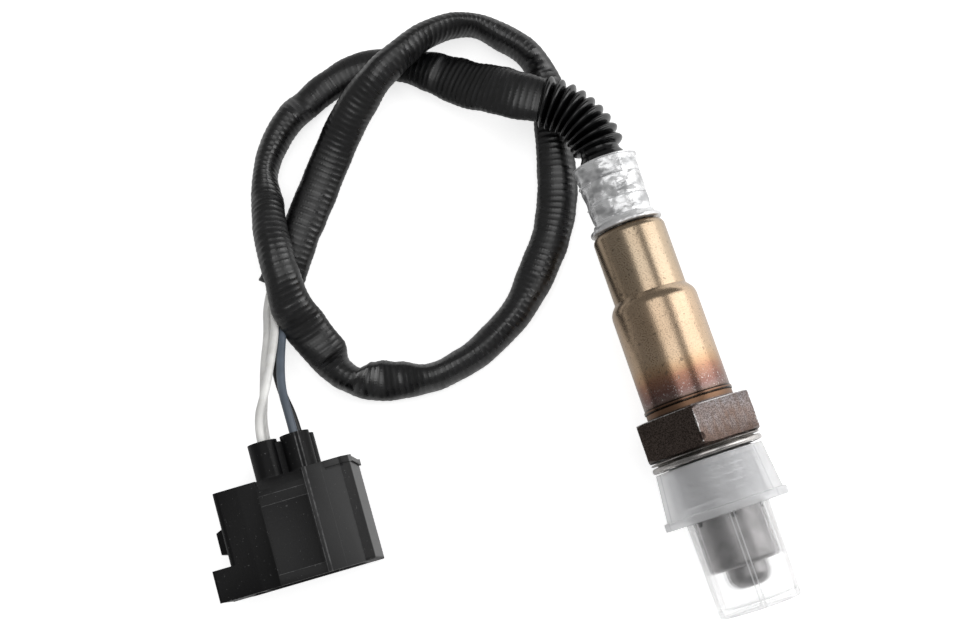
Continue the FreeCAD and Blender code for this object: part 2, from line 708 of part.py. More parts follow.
def make_contact_carriers():
    """Two ceramic halves that press the contacts on the element, and their clip."""
    radius = SHELL_RADIUS - size.shell_wall - size.carrier_gap
    groove = radius - size.clip_depth
    boss = size.stack_bore / 2 - size.stack_gap * 2
    clip_top = size.clip_base + size.clip_height
    for label, upper in (("contact_carrier_upper", True), ("contact_carrier_lower", False)):
        body = new_body(label)
        turned(body, "half", [
            (0, SPRING_TOP),
            (boss, SPRING_TOP),
            (boss, WELD),
            (radius, WELD),
            (radius, size.clip_base),
            (groove, size.clip_base),
            (groove, clip_top),
            (radius, clip_top),
            (radius, size.carrier_top),
            (0, size.carrier_top),
        ], angle=180, backwards=upper)
        half_width = size.element_width / 2 + size.slot_gap
        depth = size.carrier_slot_depth
        slot = rectangle(-half_width, half_width, -depth, depth)
        pocketed(body, "slot", "XZ_Plane", [slot], size.carrier_top * 4, middle=True)
    clip = new_body("contact_clip")
    inner = groove + size.slot_gap / 2
    low = size.clip_base + size.clip_side_gap
    high = clip_top - size.clip_side_gap
    turned(clip, "band", rectangle(inner, inner + size.clip_sheet, low, high),
           angle=360 - size.clip_opening)


def make_contacts():
    """Four contact strips, each with the crimp barrel that holds its lead."""
    number = 0
    for across in (-1, 1):
        for up in (-1, 1):
            number += 1
            strip = doc.addObject("Part::Box", f"strip_{number}")
            bind(strip, Length=size.contact_width, Width=size.contact_top - size.contact_base,
                 Height=size.contact_sheet)
            left = size.contact_inset if across > 0 else -size.contact_inset - size.contact_width
            face = size.element_thickness / 2
            low = face if up > 0 else -face - size.contact_sheet
            bind(strip, Placement__Base__x=left, Placement__Base__y=size.contact_base,
                 Placement__Base__z=low)
            barrel = doc.addObject("Part::Cylinder", f"crimp_{number}")
            barrel.Placement.Rotation = FreeCAD.Rotation(FreeCAD.Vector(1, 0, 0), -90)
            bind(barrel, Radius=size.crimp_diameter / 2, Height=size.crimp_top - size.crimp_base)
            bind(barrel, Placement__Base__x=size.lead_offset * across,
                 Placement__Base__y=size.crimp_base, Placement__Base__z=size.lead_offset * up)
            joined = doc.addObject("Part::Fuse", f"contact_{number}")
            joined.Base = strip
            joined.Tool = barrel
            keep(joined, f"contact_{number}")


def make_shell():
    """Stepped sheet shell, welded to the spigot and turned in at its end."""
    body = new_body("shell_tube")
    wall = size.shell_wall
    wide = SHELL_RADIUS
    neck = size.shell_neck_diameter / 2
    mouth = size.shell_mouth / 2
    lip = wide + size.weld_lip_width
    cone_foot = SHELL_STEP - size.shell_step_height
    mitre = wall * STEP_MITRE
    turned(body, "sheet", [
        (lip, WELD),
        (lip, WELD + size.weld_lip_height),
        (wide, WELD + size.weld_lip_height),
        (wide, cone_foot, size.shell_step_round),
        (neck, SHELL_STEP),
        (neck, SHELL_END, size.shell_end_round),
        (mouth, SHELL_END),
        (mouth, SHELL_END - wall),
        (neck - wall, SHELL_END - wall, size.shell_end_round - wall),
        (neck - wall, SHELL_STEP - mitre),
        (wide - wall, cone_foot - mitre, size.shell_step_round - wall),
        (wide - wall, WELD),
    ])


def make_grommet():
    """Cable grommet with two sealing ribs and a hole for each lead."""
    body = new_body("cable_grommet")
    rib = size.shell_neck_diameter / 2 - size.shell_wall - size.grommet_gap
    waist = rib - size.grommet_rib
    low = size.grommet_base
    high = SHELL_END - size.shell_end_round
    half = size.grommet_rib_length / 2
    corners = [(0, low), (waist, low)]
    for middle in (low + size.grommet_rib_inset, high - size.grommet_rib_inset):
        corners += [
            (waist, middle - half - size.grommet_rib_slope),
            (rib, middle - half),
            (rib, middle + half),
            (waist, middle + half + size.grommet_rib_slope),
        ]
    corners += [(waist, high), (0, high)]
    turned(body, "plug", corners)
    sketch = new_sketch(body, "lead_holes_outline", "XZ_Plane")
    for across in (-1, 1):
        for up in (-1, 1):
            draw_circle(sketch, size.lead_offset * across, size.lead_offset * up,
                        size.lead_diameter + size.lead_hole_gap * 2)
    feature(body, "PartDesign::Pocket", "lead_holes", sketch, Length=SHELL_END * 4).Midplane = True


def make_collar():
    """Crimp collar: a flared ferrule pressed to flats in three staggered rows."""
    body = new_body("crimp_collar")
    bore = size.collar_bore / 2
    flare = size.collar_flare / 2
    foot = COLLAR_FOOT
    turned(body, "ferrule", [
        (bore, foot),
        (flare, foot, size.collar_round),
        (flare, foot + size.collar_rim, size.collar_round),
        (size.collar_waist / 2, foot + size.lower_crimp),
        (size.collar_head / 2, foot + size.crimp_end),
        (size.collar_top / 2, foot + size.crimp_end),
        (size.collar_top / 2, COLLAR_END, size.collar_round),
        (bore, COLLAR_END),
    ])
    ends = (size.lower_crimp, size.middle_crimp, size.upper_crimp, size.crimp_end)
    for row, (start, end) in enumerate(zip(ends, ends[1:])):
        flats = size.crimp_flats + size.crimp_growth * row
        reach = flats / (2 * math.cos(math.pi / CRIMP_SIDES))
        sketch = new_sketch(body, f"crimp_outline_{row}", "XZ_Plane", -foot - start)
        corners = []
        for side in range(CRIMP_SIDES):
            angle = math.pi / CRIMP_SIDES * (side * 2 + row % 2)
            corners.append((reach * math.cos(angle), reach * math.sin(angle)))
        draw_loop(sketch, corners)
        draw_circle(sketch, 0, 0, size.collar_flare + OVERRUN)
        feature(body, "PartDesign::Pocket", f"crimp_{row}", sketch, Length=end - start)


def bend_placement(distance):
    """Placement on the boot's bent centre line, at a distance from the start of its bend."""
    radius = size.bend_radius.value
    angle = max(0.0, distance / radius)
    straight = min(0.0, distance)
    centre = FreeCAD.Vector(-radius, BEND_START.value, 0)
    offset = FreeCAD.Vector(radius * math.cos(angle), radius * math.sin(angle) + straight, 0)
    turn = FreeCAD.Rotation(FreeCAD.Vector(0, 0, 1), math.degrees(angle))
    return FreeCAD.Placement(centre + offset, turn)


def bend_length():
    """Length of the bent stretch along its centre line."""
    return size.bend_radius.value * math.radians(size.bend_angle.value)


def ring_loft(stations):
    """Solid through circles across the boot's centre line, given as (distance, radius)."""
    wires = []
    for distance, radius in stations:
        circle = Part.makeCircle(radius, FreeCAD.Vector(0, 0, 0), FreeCAD.Vector(0, 1, 0))
        wire = Part.Wire([circle])
        wire.Placement = bend_placement(distance) * wire.Placement
        wires.append(wire)
    return Part.makeLoft(wires, True, True)


def make_boot():
    """Rubber boot: plug, gripped sleeve, neck and a bent bellows with true inner folds."""
    steps = int(size.bellows_folds.value) * FOLD_STEPS
    valley = size.bellows_valley.value / 2
    rise = size.bellows_crest.value / 2 - valley
    bore = size.boot_bore.value / 2
    neck = size.boot_neck.value / 2
    plug = size.shell_mouth.value / 2 - size.boot_plug_gap.value
    grip = size.collar_bore.value / 2 - size.boot_sleeve_gap.value
    foot = (SHELL_END - size.shell_end_round - BEND_START).value
    grip_start = (COLLAR_FOOT - BEND_START).value
    outside = [
        (foot, plug),
        (grip_start, plug),
        (grip_start + size.boot_sleeve_slope.value, grip),
        (-size.boot_neck_length.value, grip),
        (-size.boot_shoulder_end.value, size.boot_shoulder.value / 2),
        (-size.boot_neck_end.value, neck),
    ]
    inside = [
        (foot - OVERRUN, bore),
        (-size.boot_neck_end.value, bore),
    ]
    for step in range(steps + 1):
        wave = (1 - math.cos(2 * math.pi * step / FOLD_STEPS)) / 2
        radius = valley + rise * wave ** CREST_FULLNESS
        distance = bend_length() * step / steps
        outside.append((distance, radius))
        inside.append((distance, radius - size.boot_wall.value))
    inside[-1] = (inside[-1][0] + CUT_MARGIN, inside[-1][1])
    boot = doc.addObject("Part::Feature", "bellows_boot")
    boot.Shape = ring_loft(outside).cut(ring_loft(inside))
    keep(boot, "bellows_boot")


def make_leads():
    """Four insulated leads from the crimps through grommet and boot to the sleeve."""
    number = 0
    radius = size.bend_radius.value
    turn = math.radians(size.bend_angle.value)
    for across in (-1, 1):
        for up in (-1, 1):
            number += 1
            x = size.lead_offset.value * across
            z = size.lead_offset.value * up
            reach = radius + x
            start = FreeCAD.Vector(x, size.crimp_top.value, z)
            bend = FreeCAD.Vector(x, BEND_START.value, z)
            points = []
            for share in (0.5, 1.0):
                angle = turn * share
                points.append(FreeCAD.Vector(-radius + reach * math.cos(angle),
                                             BEND_START.value + reach * math.sin(angle), z))
            path = Part.Wire([Part.LineSegment(start, bend).toShape(),
                              Part.Arc(bend, points[0], points[1]).toShape()])
            lead = doc.addObject("Part::Feature", f"lead_{number}")
            lead.Shape = swept_round(path, start, FreeCAD.Vector(0, 1, 0), size.lead_diameter.value)
            keep(lead, f"lead_{number}")


def make_cap():
    """Transit cap of soft plastic, pushed over the thread and the probe."""
    body = new_body("protective_cap")
    mouth = -size.cap_gap
    skirt = size.cap_flange_rise - size.shank_length
    flange = skirt - size.cap_flange_thickness
    end = -size.cap_reach
    tube_in = size.probe_diameter / 2 + size.cap_probe_gap
    tip_out = size.cap_tip / 2
    mouth_in = THREAD_RADIUS + size.cap_thread_gap
    wall = size.cap_mouth / 2 - mouth_in
    step = -size.shank_length - size.cap_floor_gap
    turned(body, "moulding", [
        (mouth_in, mouth),
        (size.cap_mouth / 2, mouth),
        (size.cap_skirt_end / 2, skirt),
        (size.cap_flange / 2, skirt, size.cap_flange_round),
        (size.cap_flange / 2, flange, size.cap_flange_round),
        (tube_in + size.cap_wall, flange),
        (tip_out, end, size.cap_round),
        (0, end),
        (0, end + size.cap_floor),
        (tip_out - size.cap_wall, end + size.cap_floor, size.cap_round),
        (tube_in, step),
        (size.cap_skirt_end / 2 - wall, step),
    ])
    half = size.cap_rib / 2
    section = rectangle(-half, half, THREAD_RADIUS + size.cap_rib_gap, size.cap_mouth / 2)
    rib_start = size.cap_gap + size.cap_rib_start
    rib = padded(body, "grip_rib", "XZ_Plane", [section],
                 size.shank_length + size.cap_floor_gap * 2 - rib_start, offset=rib_start)
    around(body, "grip_ribs", rib, "Y_Axis", size.cap_rib_count)
    nub = new_sketch(body, "nub_outline", "XZ_Plane", size.cap_reach - size.cap_round)
    draw_circle(nub, 0, 0, size.cap_nub)
    feature(body, "PartDesign::Pad", "nub", nub, Length=size.cap_round + size.cap_nub_height)


def swept_round(path, start, direction, diameter):
    """A round bar along a path of straight runs and tangent arcs."""
    circle = Part.Circle(start, direction, diameter / 2)
    shape = path.makePipeShell([Part.Wire([circle.toShape()])], True, False)
    section = math.pi * diameter ** 2 / 4
    if abs(shape.Volume - section * path.Length) > BAR_TOLERANCE * shape.Volume:
        raise ValueError("a swept bar doesn't have its full volume")
    return shape


def cord(label, points, diameter):
    """A cord along its route: straight runs joined by the largest arcs that fit."""
    points = [FreeCAD.Vector(*point) for point in points]
    edges = []
    radii = []
    place = points[0]
    for before, corner, after in zip(points, points[1:], points[2:]):
        run_in = corner - before
        run_out = after - corner
        turn = run_in.getAngle(run_out)
        reach = RUN_SHARE * min(run_in.Length, run_out.Length)
        radii.append(reach / math.tan(turn / 2))
        ahead = FreeCAD.Vector(run_out).normalize()
        back = FreeCAD.Vector(run_in).normalize()
        arc_start = corner - back * reach
        arc_end = corner + ahead * reach
        towards = (ahead - back).normalize()
        sagitta = radii[-1] * (1 / math.cos(turn / 2) - 1)
        edges.append(Part.LineSegment(place, arc_start).toShape())
        edges.append(Part.Arc(arc_start, corner + towards * sagitta, arc_end).toShape())
        place = arc_end
    edges.append(Part.LineSegment(place, points[-1]).toShape())
    path = Part.Wire(edges)
    item = doc.addObject("Part::Feature", label)
    item.Shape = swept_round(path, points[0], points[1] - points[0], diameter)
    keep(item, label)
    listed = ", ".join(f"{radius:.1f}" for radius in radii)
    print(f"{label}: length {path.Length:.1f} mm, arc radii {listed}")


def make_harness():
    """Sleeve round its loop, and the four wires that leave it for the plug."""
    exit_place = bend_placement(bend_length())
    start = exit_place.Base
    ahead = exit_place.Rotation.multVec(FreeCAD.Vector(0, 1, 0))
    route = [start, start + ahead * FIRST_RUN] + [FreeCAD.Vector(*point) for point in SLEEVE_ROUTE]
    cord("harness_sleeve", route, size.sleeve_diameter.value)
    end = route[-1]
    ahead = (route[-1] - route[-2]).normalize()
    left = FreeCAD.Vector(ahead.y, -ahead.x, 0)
    seating = plug_placement()
    for label, (place, middle, way) in WIRES.items():
        first = end + left * place[0] + FreeCAD.Vector(0, 0, place[1])
        entry = plug_way(way[0], way[1])
        seal_face = size.plug_depth.value + size.barrel_length.value - size.wire_seal_setback.value
        last = seating.multVec(FreeCAD.Vector(entry[0].value, seal_face, entry[1].value))
        before = seating.multVec(
            FreeCAD.Vector(entry[0].value, seal_face + WIRE_LAST_RUN, entry[1].value))
        points = [first, first + ahead * WIRE_FIRST_RUN]
        points += [FreeCAD.Vector(*point) for point in middle]
        points += [before, last]
        cord(label, points, size.wire_diameter.value)


def plug_placement():
    """Where the plug lies: its own frame has the mating face at y 0 and its underside at z 0."""
    base = FreeCAD.Vector(size.plug_x.value, size.plug_y.value, FLOOR.value)
    return FreeCAD.Placement(base, FreeCAD.Rotation(FreeCAD.Vector(0, 0, 1), size.plug_turn.value))


def seat_in_plug(item):
    """Put a piece of the plug in its place in the row's frame."""
    item.Placement = plug_placement()
    bind(item, Placement__Base__x=size.plug_x, Placement__Base__y=size.plug_y,
         Placement__Base__z=FLOOR, Placement__Rotation__Angle=size.plug_turn)


def plug_way(across, up):
    """Middle of one wire way in the plug's own frame, as x and z."""
    half = size.way_pitch / 2
    return size.core_x + half * across, size.plug_height / 2 + half * up


def plug_ways():
    """The four wire ways, numbered, as x and z in the plug's own frame."""
    places = [plug_way(across, up) for across in (-1, 1) for up in (-1, 1)]
    return list(enumerate(places, start=1))


def make_housing():
    """Moulded plug housing: hood, inner tower, rear barrels, lock foot and tab."""
    body = new_body("connector_housing")
    left = -size.plug_left
    right = size.plug_right
    top = size.plug_height
    rail_top = top - size.rail_drop
    panel_top = top - size.panel_drop
    ridge_left = size.panel_right
    ridge_right = size.panel_right + size.ridge_width
    padded(body, "section", "XZ_Plane", [[
        (left, 0, size.plug_round),
        (right, 0, size.plug_round),
        (right, top - size.bevel_drop),
        (size.bevel_left, top - size.bevel_fall),
        (ridge_right, top - size.ridge_rise),
        (ridge_right, top),
        (ridge_left, top),
        (ridge_left, panel_top),
        (size.rail_right, panel_top),
        (size.rail_right, rail_top),
        (left, rail_top, size.plug_round),
    ]], size.plug_depth, backwards=True)
    foot = rectangle(left - size.foot_reach, left + size.plug_round + OVERRUN, size.foot_base,
                     rail_top, size.foot_round)
    padded(body, "lock_foot", "XZ_Plane", [foot], size.foot_length, backwards=True)
    tab_end = size.tab_start + size.tab_length
    padded(body, "lock_tab", "XY_Plane", [[
        (left - size.tab_reach, size.tab_start),
        (left + OVERRUN, size.tab_start),
        (left + OVERRUN, tab_end + size.tab_bevel),
        (left, tab_end + size.tab_bevel),
        (left - size.tab_reach, tab_end),
    ]], size.tab_height, offset=size.tab_base)
    rim_start = size.plug_depth - size.rim_length
    groove = rectangle(size.rim_left, right + OVERRUN, rim_start - size.groove_length, rim_start)
    pocketed(body, "rim_groove", "XY_Plane", [groove], size.groove_depth + OVERRUN,
             offset=top + OVERRUN)
    rim_right = right + size.rim_reach
    padded(body, "rear_rim", "XZ_Plane", [[
        (size.rim_left, top - size.rim_depth),
        (right - size.rim_depth, top - size.rim_depth),
        (right - size.rim_depth, size.plug_round),
        (rim_right, size.plug_round, size.rim_round),
        (rim_right, top - size.bevel_drop, size.rim_round),
        (size.bevel_left + size.rim_reach, top - size.ridge_rise, size.rim_round),
        (size.rim_left, top - size.ridge_rise),
    ]], size.rim_length, offset=-rim_start, backwards=True)
    slope_start = size.plug_depth - size.slope_length
    slope_width = size.panel_right - size.rail_right
    pocketed(body, "rear_slope", "YZ_Plane", [[
        (slope_start, panel_top),
        (slope_start, top + OVERRUN),
        (size.plug_depth + OVERRUN, top + OVERRUN),
        (size.plug_depth + OVERRUN, panel_top - size.slope_drop),
        (size.plug_depth, panel_top - size.slope_drop),
    ]], slope_width, offset=size.rail_right, backwards=True)
    field = rectangle(size.rail_right + size.field_inset, size.panel_right - size.field_inset,
                      size.field_start, size.field_end)
    pocketed(body, "sunk_field", "XY_Plane", [field], size.field_depth, offset=panel_top)
    core = size.core_x
    middle = size.plug_height / 2
    tower_x = size.tower_width / 2
    tower_z = size.tower_height / 2
    gap = size.hood_gap
    tower = rectangle(core - tower_x, core + tower_x, middle - tower_z, middle + tower_z,
                      size.tower_round)
    hood = rectangle(core - tower_x - gap, core + tower_x + gap, middle - tower_z - gap,
                     middle + tower_z + gap, size.tower_round + gap)
    pocketed(body, "hood_space", "XZ_Plane", [hood, tower], size.hood_depth)
    pocketed(body, "tower_front", "XZ_Plane", [tower], size.tower_setback)
    slot_left = -size.rail_slot_left
    slot = rectangle(slot_left, slot_left + size.rail_slot_width, size.rail_slot_margin,
                     rail_top - size.rail_slot_margin, size.rail_slot_round)
    pocketed(body, "rail_slot", "XZ_Plane", [slot], size.rail_slot_depth)
    barrels = new_sketch(body, "barrels_outline", "XZ_Plane", -size.plug_depth)
    bores = new_sketch(body, "seal_bores_outline", "XZ_Plane", -size.plug_depth - size.barrel_length)
    for _, (x, z) in plug_ways():
        draw_circle(barrels, x, z, size.barrel_diameter)
        draw_circle(bores, x, z, size.seal_bore)
    feature(body, "PartDesign::Pad", "barrels", barrels, Length=size.barrel_length).Reversed = True
    reach = size.way_pitch / 2
    web = size.barrel_web / 2
    frame = rectangle(core - reach, core + reach, middle - reach - web, middle + reach + web)
    padded(body, "barrel_web", "XZ_Plane", [frame], size.barrel_length - size.web_setback,
           offset=-size.plug_depth, backwards=True)
    feature(body, "PartDesign::Pocket", "seal_bores", bores,
            Length=size.seal_bore_depth).Reversed = True
    half = size.terminal_bore / 2
    squares = [rectangle(x - half, x + half, z - half, z + half) for _, (x, z) in plug_ways()]
    pocketed(body, "terminal_ways", "XZ_Plane", squares, size.plug_depth + OVERRUN)
    seat_in_plug(body)


def make_wire_seals():
    """A ribbed rubber seal in each barrel, round the wire's crimped end."""
    hole = size.wire_diameter / 2
    rib = size.seal_bore / 2 - size.wire_seal_gap
    waist = rib - size.wire_seal_rib
    length = size.wire_seal_length
    low = size.plug_depth + size.barrel_length - size.wire_seal_setback - length
    pitch = (length - size.wire_seal_rib_length) / (WIRE_SEAL_RIBS - 1)
    corners = [(hole, low)]
    for number in range(WIRE_SEAL_RIBS):
        start = low + pitch * number
        end = start + size.wire_seal_rib_length
        if number:
            corners.append((waist, start - size.wire_seal_slope))
        corners += [(rib, start), (rib, end)]
        if number < WIRE_SEAL_RIBS - 1:
            corners.append((waist, end + size.wire_seal_slope))
    corners.append((hole, low + length))
    for number, (x, z) in plug_ways():
        body = new_body(f"wire_seal_{number}")
        turned(body, "ribbed_ring", corners)
        seat_in_plug(body)
        shift_in_plug(body, x, z)


def shift_in_plug(item, x, z):
    """Move a piece modelled on its own axis to one wire way of the plug."""
    turn = f"({size.plug_turn.formula} * 1 deg)"
    item.setExpression("Placement.Base.x", f"{size.plug_x.formula} + {x.formula} * cos{turn}")
    item.setExpression("Placement.Base.y", f"{size.plug_y.formula} + {x.formula} * sin{turn}")
    bind(item, Placement__Base__z=FLOOR + z)


def make_terminals():
    """Four box terminals, each with the crimped conductor that reaches through its seal."""
    for number, (x, z) in plug_ways():
        box = doc.addObject("Part::Box", f"terminal_box_{number}")
        half = size.terminal_width / 2
        bind(box, Length=size.terminal_width, Width=size.terminal_length, Height=size.terminal_width)
        bind(box, Placement__Base__x=-half, Placement__Base__y=size.terminal_start,
             Placement__Base__z=-half)
        conductor = doc.addObject("Part::Cylinder", f"conductor_{number}")
        conductor.Placement.Rotation = FreeCAD.Rotation(FreeCAD.Vector(1, 0, 0), -90)
        start = size.terminal_start + size.terminal_length / 2
        seal_face = size.plug_depth + size.barrel_length - size.wire_seal_setback
        bind(conductor, Radius=size.wire_diameter / 2, Height=seal_face - start,
             Placement__Base__y=start)
        socket = doc.addObject("Part::Box", f"blade_slot_{number}")
        slot = size.lock_hole / 2
        bind(socket, Length=size.lock_hole, Width=size.blade_slot_length, Height=size.lock_hole)
        bind(socket, Placement__Base__x=-slot, Placement__Base__y=size.terminal_start,
             Placement__Base__z=-slot)
        joined = doc.addObject("Part::Fuse", f"terminal_blank_{number}")
        joined.Base = box
        joined.Tool = conductor
        opened = doc.addObject("Part::Cut", f"terminal_{number}")
        opened.Base = joined
        opened.Tool = socket
        keep(opened, f"terminal_{number}")
        seat_in_plug(opened)
        shift_in_plug(opened, x, z)


def make_plug_seals():
    """Front seal round the tower and the lock plate on the tower's front."""
    core = size.core_x
    middle = size.plug_height / 2
    half_x = size.tower_width / 2
    half_z = size.tower_height / 2
    gap = size.ring_gap
    out = gap + size.ring_thickness
    ring = new_body("front_seal")
    inner = rectangle(core - half_x - gap, core + half_x + gap, middle - half_z - gap,
                      middle + half_z + gap, size.tower_round + gap)
    outer = rectangle(core - half_x - out, core + half_x + out, middle - half_z - out,
                      middle + half_z + out, size.tower_round + out)
    padded(ring, "band", "XZ_Plane", [outer, inner], size.ring_length,
           offset=-size.hood_depth + size.ring_length, backwards=True)
    seat_in_plug(ring)
    lock = new_body("secondary_lock")
    plate = rectangle(core - half_x, core + half_x, middle - half_z, middle + half_z,
                      size.tower_round)
    hole = size.lock_hole / 2
    windows = [rectangle(x - hole, x + hole, z - hole, z + hole) for _, (x, z) in plug_ways()]
    padded(lock, "plate", "XZ_Plane", [plate] + windows, size.lock_thickness,
           offset=-size.tower_setback + size.lock_thickness, backwards=True)
    seat_in_plug(lock)


def check_document():
    """Stop when any object failed or any sub-part isn't a sound solid."""
    for item in doc.Objects:
        if "Invalid" in item.State or "Error" in item.State:
            raise ValueError(f"{item.Name} failed: {item.State}")
    for item in NODES:
        shape = item.Shape
        if shape.isNull() or not shape.isValid() or not shape.Solids:
            raise ValueError(f"{item.Label} isn't a valid solid")


def write_parts():
    """Write each sub-part under its own name."""
    os.makedirs("parts", exist_ok=True)
    for item in NODES:
        item.Shape.exportStep(f"parts/{item.Label}.step")
        print(f"{item.Label}: {len(item.Shape.Solids)} solid, {item.Shape.Volume:.1f} mm3")


make_hex_body()
make_gasket()
make_probe_tubes()
make_element()
make_stack()
make_contact_carriers()
make_contacts()
make_shell()
make_grommet()
make_collar()
make_boot()
make_leads()
make_cap()
make_harness()
make_housing()
make_wire_seals()
make_terminals()
make_plug_seals()
doc.recompute()
check_document()
write_parts()
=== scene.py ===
"""The oxygen sensor, dressed for its picture.

Blender works in metres and the sizes here are in millimetres: MM turns one into the other. The
sensor lies along Y with its probe to -Y, and its harness and plug rest on the same floor.
"""
import math

import bmesh
import bpy
from mathutils import Matrix, Vector, noise


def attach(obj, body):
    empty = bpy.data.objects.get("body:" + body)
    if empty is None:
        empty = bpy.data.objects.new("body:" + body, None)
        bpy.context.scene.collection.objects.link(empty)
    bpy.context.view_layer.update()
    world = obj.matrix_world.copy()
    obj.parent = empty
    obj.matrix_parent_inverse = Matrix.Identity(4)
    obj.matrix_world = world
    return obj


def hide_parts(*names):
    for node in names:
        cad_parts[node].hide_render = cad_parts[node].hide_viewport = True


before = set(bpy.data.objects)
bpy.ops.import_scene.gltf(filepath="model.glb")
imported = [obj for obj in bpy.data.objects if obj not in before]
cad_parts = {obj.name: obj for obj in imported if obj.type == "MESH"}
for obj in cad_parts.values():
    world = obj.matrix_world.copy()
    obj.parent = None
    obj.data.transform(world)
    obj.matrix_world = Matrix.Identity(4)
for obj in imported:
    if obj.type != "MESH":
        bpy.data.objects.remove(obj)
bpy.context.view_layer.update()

MM = 0.001
WHOLE_TURN = 2 * math.pi
# Height of the floor, just under the lowest corner of the CAD's hexagon.
FLOOR = -12.702


# Shader maths


class Level:
    """One output in a node tree. Sums written on it add Math nodes."""

    def __init__(self, bench, socket):
        self.bench = bench
        self.socket = socket

    def __add__(self, other):
        return self.bench.reckon("ADD", self, other)

    def __radd__(self, other):
        return self.bench.reckon("ADD", other, self)

    def __sub__(self, other):
        return self.bench.reckon("SUBTRACT", self, other)

    def __rsub__(self, other):
        return self.bench.reckon("SUBTRACT", other, self)

    def __mul__(self, other):
        return self.bench.reckon("MULTIPLY", self, other)

    def __rmul__(self, other):
        return self.bench.reckon("MULTIPLY", other, self)

    def __pow__(self, other):
        return self.bench.reckon("POWER", self, other)


class Bench:
    """A node tree at work, with one method for every kind of node."""

    def __init__(self, tree):
        self.tree = tree

    def feed(self, entry, value):
        """Link a level to a socket, or set the socket's own value."""
        if isinstance(value, Level):
            self.tree.links.new(value.socket, entry)
        elif entry.type == "RGBA":
            entry.default_value = (*value, 1)
        else:
            entry.default_value = value

    def node(self, kind, settings=None, sockets=None, output=0):
        """Add a node with its settings, then feed its sockets, and give one output."""
        made = self.tree.nodes.new(kind)
        for key, value in (settings or {}).items():
            if key == "stops":
                ramp = made.color_ramp.elements
                while len(ramp) < len(value):
                    ramp.new(0.5)
                for stop, (place, colour) in zip(ramp, value):
                    stop.position = place
                    stop.color = (*colour, 1)
            else:
                setattr(made, key, value)
        for key, value in (sockets or {}).items():
            self.feed(made.inputs[key], value)
        return Level(self, made.outputs[output])

    def reckon(self, operation, *values):
        """Math node on one or two values."""
        return self.node("ShaderNodeMath", {"operation": operation}, dict(enumerate(values)))


class Finish(Bench):
    """A material for one kind of surface, with its shader's steady values."""

    def __init__(self, name, **steady):
        self.name = name
        self.material = bpy.data.materials.new(name)
        self.material.use_nodes = True
        super().__init__(self.material.node_tree)
        self.shader = self.tree.nodes["Principled BSDF"]
        self.put(**steady)
        self.place = self.node("ShaderNodeTexCoord", output="Object")

    def put(self, **values):
        """Feed the shader: base_color is its Base Color socket, and so on."""
        for key, value in values.items():
            label = key.replace("_", " ").title().replace("Ior", "IOR")
            self.feed(self.shader.inputs[label], value)

    def part(self, vector, axis):
        """One coordinate of a vector."""
        return self.node("ShaderNodeSeparateXYZ", None, {0: vector}, output=axis)

    def reach(self, axis, vector=None):
        """One coordinate of a place in millimetres: 0 is across, 1 along and 2 up."""
        return self.part(vector or self.place, axis) * (1 / MM)

    def grain(self, size, detail=2.0, stretch=None):
        """Noise from 0 to 1 with features of about that size in millimetres."""
        where = self.place
        if stretch:
            where = self.node("ShaderNodeMapping", None, {"Vector": where, "Scale": stretch})
        return self.node("ShaderNodeTexNoise", None,
                         {"Vector": where, "Scale": 1 / (size * MM), "Detail": detail})

    def band(self, level, low, high):
        """0 below low, 1 above high, and in proportion between them."""
        return self.node("ShaderNodeMapRange", {"clamp": True},
                         {"Value": level, "From Min": low, "From Max": high})

    def patches(self, size, detail, low, high):
        """Spots of noise: 0 where it is below low, 1 where it is above high."""
        return self.band(self.grain(size, detail), low, high)

    def stripe(self, level, middle, half, soft, ragged=0.0):
        """1 on a line across a level, and 0 beyond its soft edge."""
        gap = self.reckon("ABSOLUTE", level - middle)
        return 1 - self.band(gap + ragged, half, half + soft)

    def ramp(self, level, stops):
        """Colour along a level."""
        return self.node("ShaderNodeValToRGB", {"stops": stops}, {0: level})

    def blend(self, share, first, second):
        """One colour turning to another by a share."""
        return self.node("ShaderNodeMix", {"data_type": "RGBA"},
                         {0: share, 6: first, 7: second}, output=2)

    def relief(self, height, depth, over=None):
        """Bump of that depth in millimetres, on top of another if one is given."""
        sockets = {"Height": height, "Distance": depth * MM}
        if over:
            sockets["Normal"] = over
        return self.node("ShaderNodeBump", None, sockets)


# Camera, floor and light

# Where the camera stands, and the ways that are right and ahead to it.
CAMERA_PLACE = (-36.69, -10.6, 301.65)
CAMERA_RIGHT = (0.9487, -0.3138, -0.0386)
CAMERA_AHEAD = (0.0115, 0.1564, -0.9876)
CAMERA_LENS = 58.5
LAMP_AIM = (-30, 30, 0)
FLOOR_SIZE = 6000
FLOOR_TONE = (0.86, 0.86, 0.86)
# How strongly the floor glows for the camera, through the cap, and in gloss from left to right.
SEEN_GLOW = 0.72
THROUGH_GLOW = 0.95
LEFT_GLOSS, RIGHT_GLOSS = 0.2, 0.95
GLOSS_RUN = (0, 50)
SKY_LIGHT = 0.25


def stand_camera():
    """Camera where the photographer stood, 300 mm above the sensor."""
    right = Vector(CAMERA_RIGHT)
    ahead = Vector(CAMERA_AHEAD)
    turn = Matrix((right, right.cross(ahead), -ahead)).transposed().to_euler()
    bpy.ops.object.camera_add(location=Vector(CAMERA_PLACE) * MM, rotation=turn)
    camera = bpy.context.object
    camera.data.lens = CAMERA_LENS
    camera.data.sensor_width = 36
    camera.data.clip_start = 10 * MM
    bpy.context.scene.camera = camera


